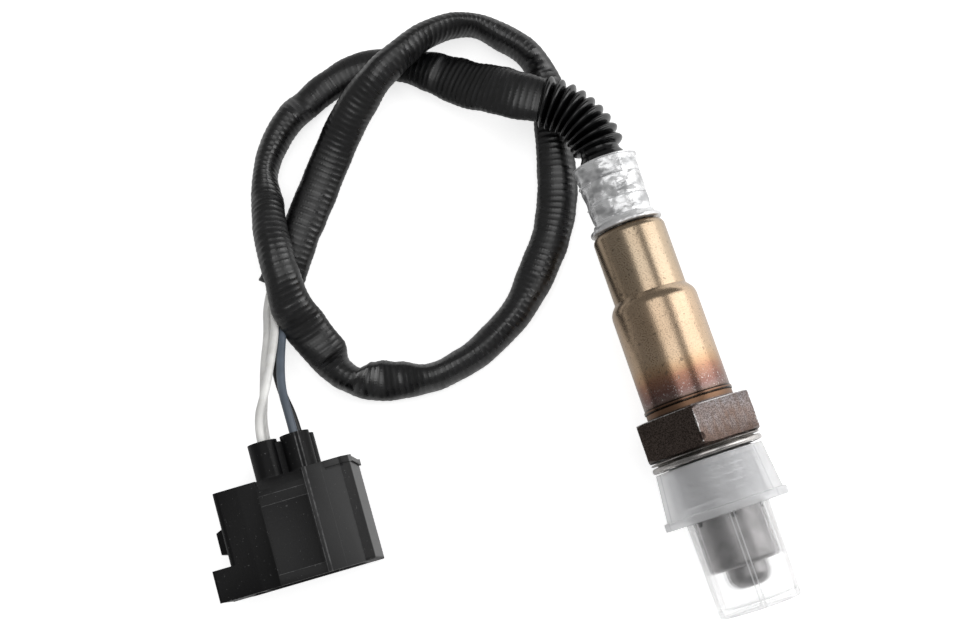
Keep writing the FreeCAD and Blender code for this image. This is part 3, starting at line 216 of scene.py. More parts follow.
def lay_floor():
    """Pale floor that keeps the shadow, and glows more to the right where gloss mirrors it."""
    bpy.ops.mesh.primitive_plane_add(size=FLOOR_SIZE * MM, location=(0, 0, FLOOR * MM))
    floor = bpy.context.object
    floor.name = "floor"
    finish = Finish("pale_floor", base_color=FLOOR_TONE, roughness=0.9, specular_ior_level=0.0,
                    emission_strength=1.0)
    seen, in_gloss, through = (
        finish.node("ShaderNodeLightPath", output=label)
        for label in ("Is Camera Ray", "Is Glossy Ray", "Is Transmission Ray"))
    right = finish.band(finish.reach(0), *GLOSS_RUN)
    gloss = in_gloss * (right * (RIGHT_GLOSS - LEFT_GLOSS) + LEFT_GLOSS)
    glow = finish.reckon("MAXIMUM", seen * SEEN_GLOW, through * THROUGH_GLOW)
    glow = finish.reckon("MAXIMUM", glow, gloss)
    finish.put(emission_color=finish.blend(glow, (0, 0, 0), (1, 1, 1)))
    floor.data.materials.append(finish.material)


def light_world():
    """Pale world: white for the camera, and dimmer as light on the part."""
    world = bpy.data.worlds.new("studio")
    bpy.context.scene.world = world
    world.use_nodes = True
    bench = Bench(world.node_tree)
    seen = bench.node("ShaderNodeLightPath", output="Is Camera Ray")
    sky = world.node_tree.nodes["Background"]
    bench.feed(sky.inputs["Color"], (1, 1, 1))
    bench.feed(sky.inputs["Strength"], seen * (1 - SKY_LIGHT) + SKY_LIGHT)


def hang_lamp(name, place, size, power):
    """Soft box that looks at the middle of the part."""
    spot = Vector(place) * MM
    turn = (Vector(LAMP_AIM) * MM - spot).to_track_quat("-Z", "Y").to_euler()
    bpy.ops.object.light_add(type="AREA", location=spot, rotation=turn)
    lamp = bpy.context.object
    lamp.name = name
    lamp.data.shape = "RECTANGLE"
    lamp.data.size, lamp.data.size_y = (side * MM for side in size)
    lamp.data.energy = power


# Handling pieces


def pick(piece, *others):
    """Select these pieces alone, with the first of them active."""
    bpy.ops.object.select_all(action="DESELECT")
    for chosen in (piece, *others):
        chosen.select_set(True)
    bpy.context.view_layer.objects.active = piece


def smooth(piece, degrees):
    """Smooth shading up to an edge angle."""
    pick(piece)
    bpy.ops.object.shade_smooth_by_angle(angle=math.radians(degrees))


def combine(piece, tool, operation):
    """Boolean of a piece with a tool, which is used up."""
    pick(piece)
    joint = piece.modifiers.new("joint", "BOOLEAN")
    joint.operation = operation
    joint.solver = "EXACT"
    joint.object = tool
    bpy.ops.object.modifier_apply(modifier="joint")
    bpy.data.objects.remove(tool)


def break_edges(piece, width, degrees):
    """Bevel the edges that are sharper than an angle."""
    pick(piece)
    bevel = piece.modifiers.new("broken_edges", "BEVEL")
    bevel.width = width * MM
    bevel.segments = 2
    bevel.limit_method = "ANGLE"
    bevel.angle_limit = math.radians(degrees)
    bpy.ops.object.modifier_apply(modifier="broken_edges")


def ease(low, high, value):
    """0 below low, 1 above high, and smooth between them."""
    share = min(1.0, max(0.0, (value - low) / (high - low)))
    return share * share * (3 - 2 * share)


def settle(piece, node, slot, body="sensor"):
    """Let a finished piece stand for a CAD node, in its finish."""
    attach(piece, body)
    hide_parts(node)
    piece.data.materials.clear()
    piece.data.materials.append(FINISHES[slot].material)
    return piece


# Cords

# The sleeve's route, from the end of the boot to its own open end.
SLEEVE_ROUTE = [
    (-7.65, 75.25, 0.0), (-11.98, 77.75, 0.0),
    (-18.2, 82.6, -2.6), (-24.6, 88.9, -6.0), (-31.0, 94.2, -9.0), (-39.0, 97.4, -9.2),
    (-47.6, 96.0, -9.2), (-56.2, 92.6, -9.2), (-63.0, 86.6, -9.2), (-66.8, 79.2, -8.6),
    (-68.2, 72.0, -4.6), (-68.4, 64.4, -1.2), (-67.9, 57.0, -1.2), (-67.0, 50.4, -3.8),
    (-65.4, 43.4, -9.0), (-62.9, 36.4, -9.2), (-57.8, 32.4, -9.2), (-50.8, 31.0, -9.2),
    (-43.6, 30.2, -9.2), (-36.4, 31.2, -9.2), (-29.4, 34.0, -9.2), (-22.6, 39.4, -9.2),
    (-16.4, 46.6, -9.2), (-11.4, 54.6, -9.2), (-8.6, 63.4, -9.2), (-6.6, 71.6, -9.2),
    (-4.2, 79.6, -9.2), (-4.4, 87.4, -9.2), (-9.4, 94.4, -9.2), (-16.8, 99.0, -8.4),
    (-25.4, 97.8, -4.0), (-32.0, 94.6, -1.0), (-38.6, 91.0, -1.0), (-45.6, 86.2, -4.6),
    (-52.2, 79.6, -9.0), (-58.6, 71.8, -9.2), (-64.8, 64.4, -9.2), (-69.3, 57.9, -9.2),
]
SLEEVE_SIZE = 7.0
SLEEVE_SIDES = 44
# The ribs along the sleeve, and how much of its length is one unit of its UV map.
RIB_PITCH = 1.25
RIB_DEPTH = 0.055
UV_RUN = 100
# How the limp sleeve lies: distance along it, how far it reaches to its left and to its right,
# and where its crease runs, in degrees from its left edge over the top.
SLEEVE_LIE = [
    (0, 4.5, 4.6, 60), (4, 4.7, 5.2, 60), (12, 4.4, 5.8, 62), (20, 4.5, 5.5, 66),
    (26, 3.7, 4.9, 70), (32, 2.9, 3.9, 80), (40, 3.4, 3.6, 90), (48, 3.5, 3.2, 110),
    (56, 3.6, 2.7, 60), (64, 3.3, 2.4, 60), (72, 2.9, 2.1, 70), (80, 4.4, 2.3, 80),
    (90, 4.2, 2.9, 90), (96, 3.9, 3.4, 100), (104, 3.4, 4.9, 110), (110, 4.2, 4.9, 120),
    (116, 4.5, 3.9, 100), (121, 3.0, 3.1, 80), (124, 2.9, 2.8, 62), (127, 4.8, 2.8, 54),
    (130, 5.5, 2.9, 52), (134, 4.6, 3.0, 50), (140, 2.9, 2.8, 60), (148, 3.5, 2.4, 80),
    (156, 4.1, 2.2, 90), (164, 3.8, 2.8, 90), (172, 4.3, 3.5, 100), (180, 3.9, 4.0, 100),
    (190, 3.8, 4.4, 110), (200, 3.6, 4.0, 100), (210, 3.6, 3.3, 90), (218, 3.6, 2.1, 80),
    (226, 3.7, 1.8, 70), (234, 2.5, 1.9, 70), (242, 2.6, 2.4, 90), (250, 3.1, 2.9, 100),
    (258, 3.3, 3.4, 118), (266, 3.7, 4.0, 122), (276, 4.0, 4.2, 122), (290, 4.0, 4.2, 120),
    (300, 4.0, 4.4, 116), (308, 4.2, 5.2, 110),
]
LEAST_HALF_HEIGHT = 2.1
# Where another turn lies on the sleeve, it is pressed flatter: from, to, greatest half height.
SLEEVE_PRESSED = [(28, 54, 2.3), (194, 214, 2.9), (286, 303, 2.7)]
PRESS_RUN = 5
# From the boot it falls to the floor over this stretch, and its humps keep a share of their rise.
FALL_START, FALL_END = 4, 24
HUMP_SHARE = 0.75
# Heights of the crease and of the softer one opposite it, and their spread in radians.
CREASE, FAR_CREASE, CREASE_SPREAD = 0.42, 0.25, 0.3
# How far the slack cloth between the creases wanders.
SLACK = 0.18
# The open end's turned-in rim: share of the mouth's size, and how far back inside. Its UV map
# runs on by this much a ring.
MOUTH_RIM = ((0.9, 0.0), (0.86, 1.4))
MOUTH_RUN = 0.4

# Each single wire: its finish, its length and its route.
WIRES = {
    "wire_white_1": ("wire_white", 35.3, [
        (-70.09, 60.27, -9.6), (-73.22, 55.75, -9.6), (-74.6, 49.5, -8.6), (-77.1, 43.5, -7.6),
        (-78.9, 37.4, -6.9), (-80.88, 31.80, -6.70), (-81.06, 27.20, -6.70),
    ]),
    "wire_white_2": ("wire_white", 35.8, [
        (-68.53, 59.19, -8.1), (-71.66, 54.67, -8.1), (-72.8, 49.0, -6.2), (-75.2, 43.0, -3.8),
        (-77.7, 37.2, -1.3), (-80.88, 31.80, -0.20), (-81.06, 27.20, -0.20),
    ]),
    "wire_grey": ("wire_grey", 34.2, [
        (-66.88, 58.05, -8.9), (-70.02, 53.53, -8.9), (-71.6, 48.8, -7.6), (-73.4, 42.8, -4.8),
        (-74.5, 37.0, -1.9), (-74.39, 31.55, -0.20), (-74.56, 26.95, -0.20),
    ]),
    "wire_black": ("wire_black", 33.9, [
        (-68.12, 58.90, -10.4), (-71.25, 54.38, -10.4), (-73.4, 48.8, -9.9),
        (-75.3, 42.8, -8.8), (-75.3, 36.8, -7.4), (-74.39, 31.55, -6.70), (-74.56, 26.95, -6.70),
    ]),
}
WIRE_SIZE = 1.7
# Points of a smooth line to each run of its route.
LINE_STEPS = 16


def lay_line(name, points, radius=0.0):
    """Smooth line with the route's points as its control points."""
    curve = bpy.data.curves.new(name, "CURVE")
    curve.dimensions = "3D"
    spline = curve.splines.new("NURBS")
    spline.points.add(len(points) - 1)
    for point, place in zip(spline.points, points):
        point.co = (*[value * MM for value in place], 1)
        point.radius = radius * MM
    spline.order_u = 3
    spline.use_endpoint_u = True
    curve.resolution_u = LINE_STEPS
    spline.resolution_u = LINE_STEPS
    line = bpy.data.objects.new(name, curve)
    bpy.context.collection.objects.link(line)
    return line


def points_along(line):
    """The points of a line without a bevel, as Blender works them out."""
    evaluated = line.evaluated_get(bpy.context.evaluated_depsgraph_get())
    mesh = bpy.data.meshes.new_from_object(evaluated)
    return [vertex.co.copy() for vertex in mesh.vertices]


def even_stations(points, step):
    """Distance, place and direction at even steps along a row of points."""
    run = [0.0]
    for before, after in zip(points, points[1:]):
        run.append(run[-1] + (after - before).length)
    stations = []
    piece = 0
    for number in range(int(run[-1] / step) + 1):
        distance = number * step
        while run[piece + 1] < distance and piece < len(run) - 2:
            piece += 1
        share = (distance - run[piece]) / (run[piece + 1] - run[piece])
        ahead = (points[piece + 1] - points[piece]).normalized()
        stations.append((distance, points[piece].lerp(points[piece + 1], share), ahead))
    return stations


def between(rows, distance):
    """Values of the two nearest rows, eased from one to the next."""
    for before, after in zip(rows, rows[1:]):
        if distance <= after[0]:
            share = ease(before[0], after[0], distance)
            return [low + (high - low) * share for low, high in zip(before[1:], after[1:])]
    return rows[-1][1:]


def half_height(half_width, distance):
    """Half the sleeve's height: less where it is wide, and where another turn presses on it."""
    tall = math.sqrt(max(SLEEVE_SIZE ** 2 / 2 - half_width ** 2, LEAST_HALF_HEIGHT ** 2))
    for start, end, limit in SLEEVE_PRESSED:
        pressed = ease(start - PRESS_RUN, start, distance)
        pressed *= 1 - ease(end, end + PRESS_RUN, distance)
        tall += (min(tall, limit) - tall) * pressed
    return tall


def sleeve_section(distance, height):
    """Outline of the limp sleeve at one place of its route: (to the left, up) from there."""
    left, right, crease = between(SLEEVE_LIE, distance)
    half = (left + right) / 2
    round_half = SLEEVE_SIZE / 2
    tall = half_height(half, distance)
    hump = (height - FLOOR - round_half) * HUMP_SHARE
    middle = (FLOOR + hump + tall - height) * ease(FALL_START, FALL_END, distance)
    corner = math.radians(crease)
    rib = RIB_DEPTH * math.cos(WHOLE_TURN * distance / RIB_PITCH)
    outline = []
    for side in range(SLEEVE_SIDES):
        angle = WHOLE_TURN * side / SLEEVE_SIDES
        gap = abs((angle - corner + math.pi) % WHOLE_TURN - math.pi)
        far_gap = abs((angle - corner) % WHOLE_TURN - math.pi)
        fold = CREASE * math.exp(-gap / CREASE_SPREAD)
        fold += FAR_CREASE * math.exp(-far_gap / CREASE_SPREAD)
        spot = Vector((math.cos(angle) * 1.3, math.sin(angle) * 1.3, distance * 0.28))
        slack = noise.noise(spot) * SLACK
        ridge = rib * (0.6 + 1.1 * noise.noise(Vector((angle * 1.6, distance * 0.7, 3.0))))
        wide = half * (1 + (fold + slack) / round_half) + ridge
        high = tall * (1 + fold * 0.5 / round_half) + ridge
        outline.append((math.cos(angle) * wide + (left - right) / 2,
                        math.sin(angle) * high + middle))
    return outline


def sleeve_rings(mesh, stations):
    """Rings of vertices along the sleeve, with a turned-in rim at its open end."""
    rings = []
    for metres, place, ahead in stations:
        distance = metres / MM
        left = Vector((0, 0, 1)).cross(ahead).normalized()
        up = ahead.cross(left)
        ring = []
        for across, high in sleeve_section(distance, place.z / MM):
            spot = place + (left * across + up * high) * MM
            spot.z = max(spot.z, FLOOR * MM)
            ring.append(mesh.verts.new(spot))
        rings.append((distance, ring))
    mouth = rings[-1][1]
    middle = sum((vertex.co for vertex in mouth), Vector()) / SLEEVE_SIDES
    for share, back in MOUTH_RIM:
        inset = ahead * back * MM
        ring = [mesh.verts.new(middle.lerp(vertex.co, share) - inset) for vertex in mouth]
        rings.append((rings[-1][0] + MOUTH_RUN, ring))
    return rings


def make_sleeve():
    """Ribbed limp sleeve, flattened and creased as it lies, open at its far end."""
    line = lay_line("sleeve_line", SLEEVE_ROUTE)
    path = points_along(line)
    bpy.data.objects.remove(line)
    mesh = bmesh.new()
    around = mesh.loops.layers.uv.new("around")
    rings = sleeve_rings(mesh, even_stations(path, RIB_PITCH / 4 * MM))
    for (start, before), (end, after) in zip(rings, rings[1:]):
        for side in range(SLEEVE_SIDES):
            other = (side + 1) % SLEEVE_SIDES
            face = mesh.faces.new((before[side], before[other], after[other], after[side]))
            face.smooth = True
            spots = ((side, start), (side + 1, start), (side + 1, end), (side, end))
            for loop, (turn, run) in zip(face.loops, spots):
                loop[around].uv = (turn / SLEEVE_SIDES, run / UV_RUN)
    mesh.faces.new(list(reversed(rings[0][1])))
    mesh.faces.new(rings[-1][1])
    bmesh.ops.recalc_face_normals(mesh, faces=mesh.faces)
    data = bpy.data.meshes.new("sleeve")
    mesh.to_mesh(data)
    mesh.free()
    sleeve = bpy.data.objects.new("sleeve", data)
    bpy.context.collection.objects.link(sleeve)
    settle(sleeve, "harness_sleeve", "sleeve_weave")


def make_wire(node):
    """One single wire from the sleeve's mouth into its seal."""
    slot, length, route = WIRES[node]
    wire = lay_line(node.replace("wire", "lead_wire"), route, WIRE_SIZE / 2)
    # The wire's radius is its points' own radius times this depth.
    wire.data.bevel_depth = 1.0
    wire.data.bevel_resolution = 6
    wire.data.use_fill_caps = True
    settle(wire, node, slot)


# Pieces turned round the sensor's axis


def lathe(name, outline, sides=96, closed=False):
    """Ring after ring drawn out along Y, from (radius, place) in millimetres."""
    bpy.ops.object.select_all(action="DESELECT")
    radius, place = outline[0]
    bpy.ops.mesh.primitive_circle_add(
        vertices=sides, radius=radius * MM, location=(0, place * MM, 0),
        rotation=(math.pi / 2, 0, 0))
    piece = bpy.context.object
    piece.name = name
    piece.data.name = name
    bpy.ops.object.transform_apply(location=True, rotation=True, scale=True)
    bpy.ops.object.mode_set(mode="EDIT")
    bpy.ops.mesh.select_all(action="SELECT")
    if closed:
        bpy.ops.mesh.edge_face_add()
        bpy.ops.mesh.select_mode(type="EDGE")
        bpy.ops.mesh.select_all(action="SELECT")
    for (before, start), (after, end) in zip(outline, outline[1:]):
        bpy.ops.mesh.extrude_edges_move(
            TRANSFORM_OT_translate={"value": (0, (end - start) * MM, 0)})
        share = after / before
        bpy.ops.transform.resize(value=(share, 1, share), center_override=(0, end * MM, 0))
    if closed:
        bpy.ops.mesh.edge_face_add()
    bpy.ops.mesh.select_all(action="SELECT")
    bpy.ops.mesh.remove_doubles(threshold=0.000001)
    bpy.ops.mesh.normals_make_consistent(inside=False)
    bpy.ops.object.mode_set(mode="OBJECT")
    return piece


def move_vertices(piece, rule):
    """Move every vertex of a piece by a rule on its place, in millimetres."""
    for vertex in piece.data.vertices:
        vertex.co = Vector(rule(*(vertex.co / MM))) * MM


# The bellows: where its bend starts, the bend's radius and angle, and how it is folded.
BEND_START = 62.0
BEND_RADIUS = 15.3
BEND_ANGLE = 60
FOLDS = 9
FOLD_STEPS = 14
# Radius of the bellows in its folds and at its crests, and how much the crests vary.
FOLD_ROOT = 3.9
FOLD_CREST = 5.24
CREST_DRIFT = 0.05
# Below 1, the crests are fuller than the folds between them.
FOLD_FULLNESS = 0.42


def bend_boot(x, y, z):
    """Bend what is above the bend's start towards -X."""
    angle = max(0.0, y - BEND_START) / BEND_RADIUS
    straight = min(y, BEND_START)
    reach = BEND_RADIUS + x
    return reach * math.cos(angle) - BEND_RADIUS, reach * math.sin(angle) + straight, z


def make_boot():
    """Rubber boot whose straight bellows is drawn out and then bent."""
    pitch = math.radians(BEND_ANGLE) * BEND_RADIUS / FOLDS
    outline = [(4.9, 58.2), (5.35, 58.3), (5.35, 58.9), (5.2, 59.2), (4.85, 59.45), (4.68, 59.8),
               (4.5, 60.3), (4.2, 60.8), (3.98, 61.2), (3.92, 61.6)]
    for step in range(FOLDS * FOLD_STEPS + 1):
        wave = 0.5 - 0.5 * math.cos(WHOLE_TURN * step / FOLD_STEPS)
        crest = FOLD_CREST + CREST_DRIFT * math.sin(step * 0.37)
        outline.append((FOLD_ROOT + (crest - FOLD_ROOT) * wave ** FOLD_FULLNESS,
                        BEND_START + pitch * step / FOLD_STEPS))
    end = outline[-1][1]
    outline += [(3.3, end + 0.02), (2.4, end + 0.03)]
    boot = lathe("bellows", outline, sides=72, closed=True)
    move_vertices(boot, bend_boot)
    smooth(boot, 60)
    settle(boot, "bellows_boot", "boot_rubber")


# The collar's wall between its flare and its rolled top, and how it widens upwards.
COLLAR_WAIST, COLLAR_TOP = 47.2, 58.9
COLLAR_RADIUS = 6.2
COLLAR_TAPER = 0.46
COLLAR_STEPS = 116
# Rows of crimps: from, to, half the size across flats, and the share of a flat it is turned by.
CRIMPS = [(47.3, 50.9, 6.0, 0.0), (50.9, 55.4, 6.1, 0.5), (55.4, 59.0, 6.3, 0.0)]
CRIMP_FLATS = 8
# How far each jaw slips along, and the share of its row in which a flat takes its depth.
JAW_SLIP = 0.45
CRIMP_LIP = 0.035
# Lumps left in the wall: how fast their noise runs across, along and up, and their height.
COLLAR_LUMPS = [((0.42, 0.5, 0.42), 0.2), ((0.95, 0.9, 0.95), 0.05)]


def press_crimps(x, y, z):
    """Press the rows of flats into the collar's wall, each flat deepest where its row starts."""
    radius = math.hypot(x, z)
    # The rolled top, the flare and the foot stay round.
    if radius < 6.0 or y > 59.0 or y < 46.9:
        return x, y, z
    pressed = radius
    for start, end, depth, turn in CRIMPS:
        share = math.atan2(z, x) / WHOLE_TURN * CRIMP_FLATS + turn
        jaw = round(share) % CRIMP_FLATS
        slip = noise.noise(Vector((jaw * 1.7 + 0.3, start, 0.5))) * JAW_SLIP
        off = (share - round(share)) * WHOLE_TURN / CRIMP_FLATS
        rise = (y - start - slip) / (end - start)
        if 0 <= rise < 1:
            dip = 0.26 + 0.5 * noise.noise(Vector((x * 0.16 + 3, start, z * 0.16)))
            flat = depth / math.cos(off * 0.5) - max(0.0, dip) * (1 - rise) ** 2.4
            pressed += min(0.0, flat - radius) * ease(0, CRIMP_LIP, rise)
    swell = sum(noise.noise(Vector((x * wide, y * long, z * high))) * height
                for (wide, long, high), height in COLLAR_LUMPS)
    pressed += swell * ease(46.9, 48.5, y) * (1 - ease(57.6, 58.9, y))
    return x * pressed / radius, y, z * pressed / radius


def make_collar():
    """Bright flared ferrule with three staggered rows of pressed flats."""
    outline = [(5.45, 59.25), (6.3, 59.28), (6.55, 59.2), (6.66, 59.05)]
    for step in range(COLLAR_STEPS + 1):
        place = COLLAR_TOP - step * (COLLAR_TOP - COLLAR_WAIST) / COLLAR_STEPS
        outline.append((COLLAR_RADIUS + COLLAR_TAPER * ease(COLLAR_WAIST, 60.0, place), place))
    outline += [(6.24, 47.0), (6.34, 46.78), (6.54, 46.54), (6.8, 46.36), (7.06, 46.24),
                (7.22, 46.1), (7.28, 45.9), (7.29, 45.7), (7.22, 45.5), (7.05, 45.41),
                (6.6, 45.4), (5.6, 45.4)]
    collar = lathe("collar", outline, sides=192)
    move_vertices(collar, press_crimps)
    smooth(collar, 32)
    settle(collar, "crimp_collar", "collar_aluminium")


# The hexagon: size across its flats, height over the gasket's seat, and turn about its axis.
HEX_FLATS = 22.0
HEX_TOP = 7.5
HEX_TURN = math.radians(6)
# Radius where the hexagon's chamfers start, and how far out and down their cone goes on.
HEX_RIM = 11.8
CHAMFER_REACH = 2
CHAMFER_FALL = CHAMFER_REACH / math.sqrt(3)
# End of the weld spigot over the gasket's seat.
WELD = 9.0
# The thread: radius at its roots and crests, pitch, and the stretch of the shank it is on.
THREAD_ROOT = 8.08
THREAD_CREST = 8.98
THREAD_PITCH = 1.5
THREAD_START, THREAD_END = -11.9, -1.8
THREAD_STEPS = 96


def roll_thread(x, y, z):
    """Raise the thread's crests on the shank, running out at both its ends."""
    radius = math.hypot(x, z)
    # The end face and all above the shank stay as turned.
    if radius < THREAD_ROOT - 0.01 or y > -1.7 or y < -11.95:
        return x, y, z
    phase = (y / THREAD_PITCH + math.atan2(z, x) / WHOLE_TURN) % 1.0
    height = min(1.0, max(0.0, (0.5 - abs(phase - 0.5)) * 2.5 - 0.15))
    fade = ease(-12.0, -10.9, y) * (1 - ease(-2.6, THREAD_END, y))
    share = (THREAD_ROOT + (THREAD_CREST - THREAD_ROOT) * height * fade) / radius
    return x * share, y, z * share


def make_hex_body():
    """Hexagon with chamfered corners, weld spigot and rolled thread."""
    bpy.ops.object.select_all(action="DESELECT")
    bpy.ops.mesh.primitive_cylinder_add(
        vertices=6, radius=HEX_FLATS / math.sqrt(3) * MM, depth=HEX_TOP * MM,
        location=(0, HEX_TOP / 2 * MM, 0), rotation=(math.pi / 2, -HEX_TURN, 0))
    hexagon = bpy.context.object
    hexagon.name = "hexagon"
    bpy.ops.object.transform_apply(location=True, rotation=True, scale=True)
    wide = HEX_RIM + CHAMFER_REACH
    chamfers = lathe("chamfers", [
        (HEX_RIM - 1, -CHAMFER_FALL / 2), (wide, CHAMFER_FALL), (wide, HEX_TOP - CHAMFER_FALL),
        (HEX_RIM - 1, HEX_TOP + CHAMFER_FALL / 2),
    ], sides=180, closed=True)
    combine(hexagon, chamfers, "INTERSECT")
    break_edges(hexagon, 0.13, 34)
    outline = [(7.05, -11.8), (7.6, -12.0), (THREAD_ROOT, -12.0)]
    for step in range(THREAD_STEPS + 1):
        place = THREAD_START + step * (THREAD_END - THREAD_START) / THREAD_STEPS
        outline.append((THREAD_ROOT, place))
    outline += [(THREAD_ROOT, -1.7), (THREAD_ROOT, 0.4), (8.2, 3.0), (8.62, 7.4), (8.66, 7.6),
                (8.66, 8.9), (8.5, WELD), (7.4, WELD)]
    core = lathe("core", outline, sides=108, closed=True)
    move_vertices(core, roll_thread)
    pick(hexagon, core)
    bpy.ops.object.join()
    smooth(hexagon, 28)
    settle(hexagon, "hex_body", "plated_steel")


def tilt_gasket(x, y, z):
    """Lean and ripple of a gasket that sits loose."""
    ripple = noise.noise(Vector((x * 0.3, z * 0.3, 2.0))) * 0.07
    return x, y + x * 0.009 - z * 0.003 + ripple, z


def make_gasket():
    """Folded sheet gasket, loose and a little askew on the relief of the thread."""
    outline = [(9.2, -0.3), (10.7, -0.3), (10.86, -0.36), (10.9, -0.46), (10.84, -0.56),
               (10.7, -0.62), (9.75, -0.64), (9.62, -0.82), (9.75, -1.0), (10.55, -1.0),
               (10.8, -1.08), (10.93, -1.22), (10.99, -1.42), (10.99, -1.66), (10.93, -1.84),
               (10.8, -1.98), (10.5, -2.06), (9.2, -2.06), (9.2, -0.3)]
    gasket = lathe("gasket", outline, sides=128)
    move_vertices(gasket, tilt_gasket)
    smooth(gasket, 50)
    settle(gasket, "gasket_ring", "gasket_steel")


# Places round the cap, in degrees, of its grip ribs and of the two lines of its mould seam.
GRIP_RIBS = (42, 162, 282)
SEAM_LINES = (95, 89.5)
# Bars on the cap: place round it, radius, place along it, and size across, along and out.
CAP_BARS = [(place, 9.65, -8.1, (0.42, 9.2, 1.1)) for place in GRIP_RIBS]
CAP_BARS += [(place, 8.08, -22.4, (0.2, 17.8, 0.5)) for place in SEAM_LINES]


def make_cap():
    """Transit cap: cone, flange and tube in one wall, with grip ribs and a double mould seam."""
    outline = [(0.6, -30.5), (6.5, -30.5), (6.83, -30.4), (7.04, -30.1), (7.06, -29.7),
               (7.3, -12.7), (7.42, -12.46), (7.7, -12.4), (10.3, -12.4), (9.4, -2.55),
               (9.5, -2.5), (10.55, -2.5), (10.66, -2.6), (11.58, -11.6), (11.7, -11.7),
               (12.06, -11.7), (12.2, -11.76), (12.25, -11.9), (12.25, -13.1), (12.2, -13.24),
               (12.06, -13.3), (8.5, -13.3), (8.32, -13.38), (8.28, -13.6), (8.05, -31.45),
               (7.93, -31.76), (7.6, -31.9), (0.7, -31.9), (0.6, -32.0), (0.56, -32.36),
               (0.4, -32.4)]
    cap = lathe("cap", outline, sides=128, closed=True)
    for place, reach, along, size in CAP_BARS:
        turn = math.radians(90 - place)
        middle = Vector((math.sin(turn) * reach, along, math.cos(turn) * reach)) * MM
        bpy.ops.object.select_all(action="DESELECT")
        bpy.ops.mesh.primitive_cube_add(size=MM, location=middle, rotation=(0, turn, 0))
        bar = bpy.context.object
        bar.scale = size
        bpy.ops.object.transform_apply(location=True, rotation=True, scale=True)
        combine(cap, bar, "UNION")
    smooth(cap, 32)
    settle(cap, "protective_cap", "cap_plastic", body="cap")


# Pieces that keep their CAD form

# Upright edges longer than this are corners of a housing.
LONG_EDGE = 9


def round_corners(piece, width):
    """Round the long upright outer edges of a piece, and the slant edges above and below them."""
    mesh = bmesh.new()
    mesh.from_mesh(piece.data)

    def outer(edge, steep, degrees):
        rise = abs((edge.verts[0].co - edge.verts[1].co).normalized().z)
        return (len(edge.link_faces) == 2 and rise > steep
                and edge.calc_face_angle_signed(0) > math.radians(degrees))

    upright = [edge for edge in mesh.edges
               if edge.calc_length() > LONG_EDGE * MM and outer(edge, 0.99, 60)]
    slant = {other for edge in upright for vertex in edge.verts for other in vertex.link_edges
             if outer(other, 0.3, 20)}
    bmesh.ops.bevel(mesh, geom=list(slant), offset=width * MM, segments=5, profile=0.5,
                    affect="EDGES", clamp_overlap=False)
    mesh.to_mesh(piece.data)
    mesh.free()


def merged_copy(node, name, edge=0.0, corner=0.0, degrees=30):
    """Copy of a CAD node with joined faces, its edges broken and its corners rounded if asked."""
    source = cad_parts[node]
    piece = source.copy()
    piece.data = source.data.copy()
    piece.parent = None
    piece.matrix_world = source.matrix_world.copy()
    for key in list(piece.keys()):
        del piece[key]
    piece.name = name
    piece.data.name = name
    bpy.context.collection.objects.link(piece)
    pick(piece)
    bpy.ops.object.transform_apply(location=True, rotation=True, scale=True)
    bpy.ops.object.mode_set(mode="EDIT")
    bpy.ops.mesh.select_all(action="SELECT")
    bpy.ops.mesh.remove_doubles(threshold=0.00001)
    bpy.ops.mesh.customdata_custom_splitnormals_clear()
    bpy.ops.mesh.dissolve_limited(angle_limit=math.radians(0.6))
    bpy.ops.object.mode_set(mode="OBJECT")
    if corner:
        round_corners(piece, corner)
    if edge:
        break_edges(piece, edge, 40)
    smooth(piece, degrees)
    return piece


def paint_node(node, finish):
    """Give a carried-over CAD node its finish, in the node's own slots."""
    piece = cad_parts[node]
    if not piece.material_slots:
        piece.data.materials.append(finish.material)
    for slot in piece.material_slots:
        slot.material = finish.material


# Finishes

# The stretch of the shell above the weld spigot that the weld's heat tinted.
TINT_START, TINT_END = 8.8, 18.8
BLACK_LINES_END = 9.8


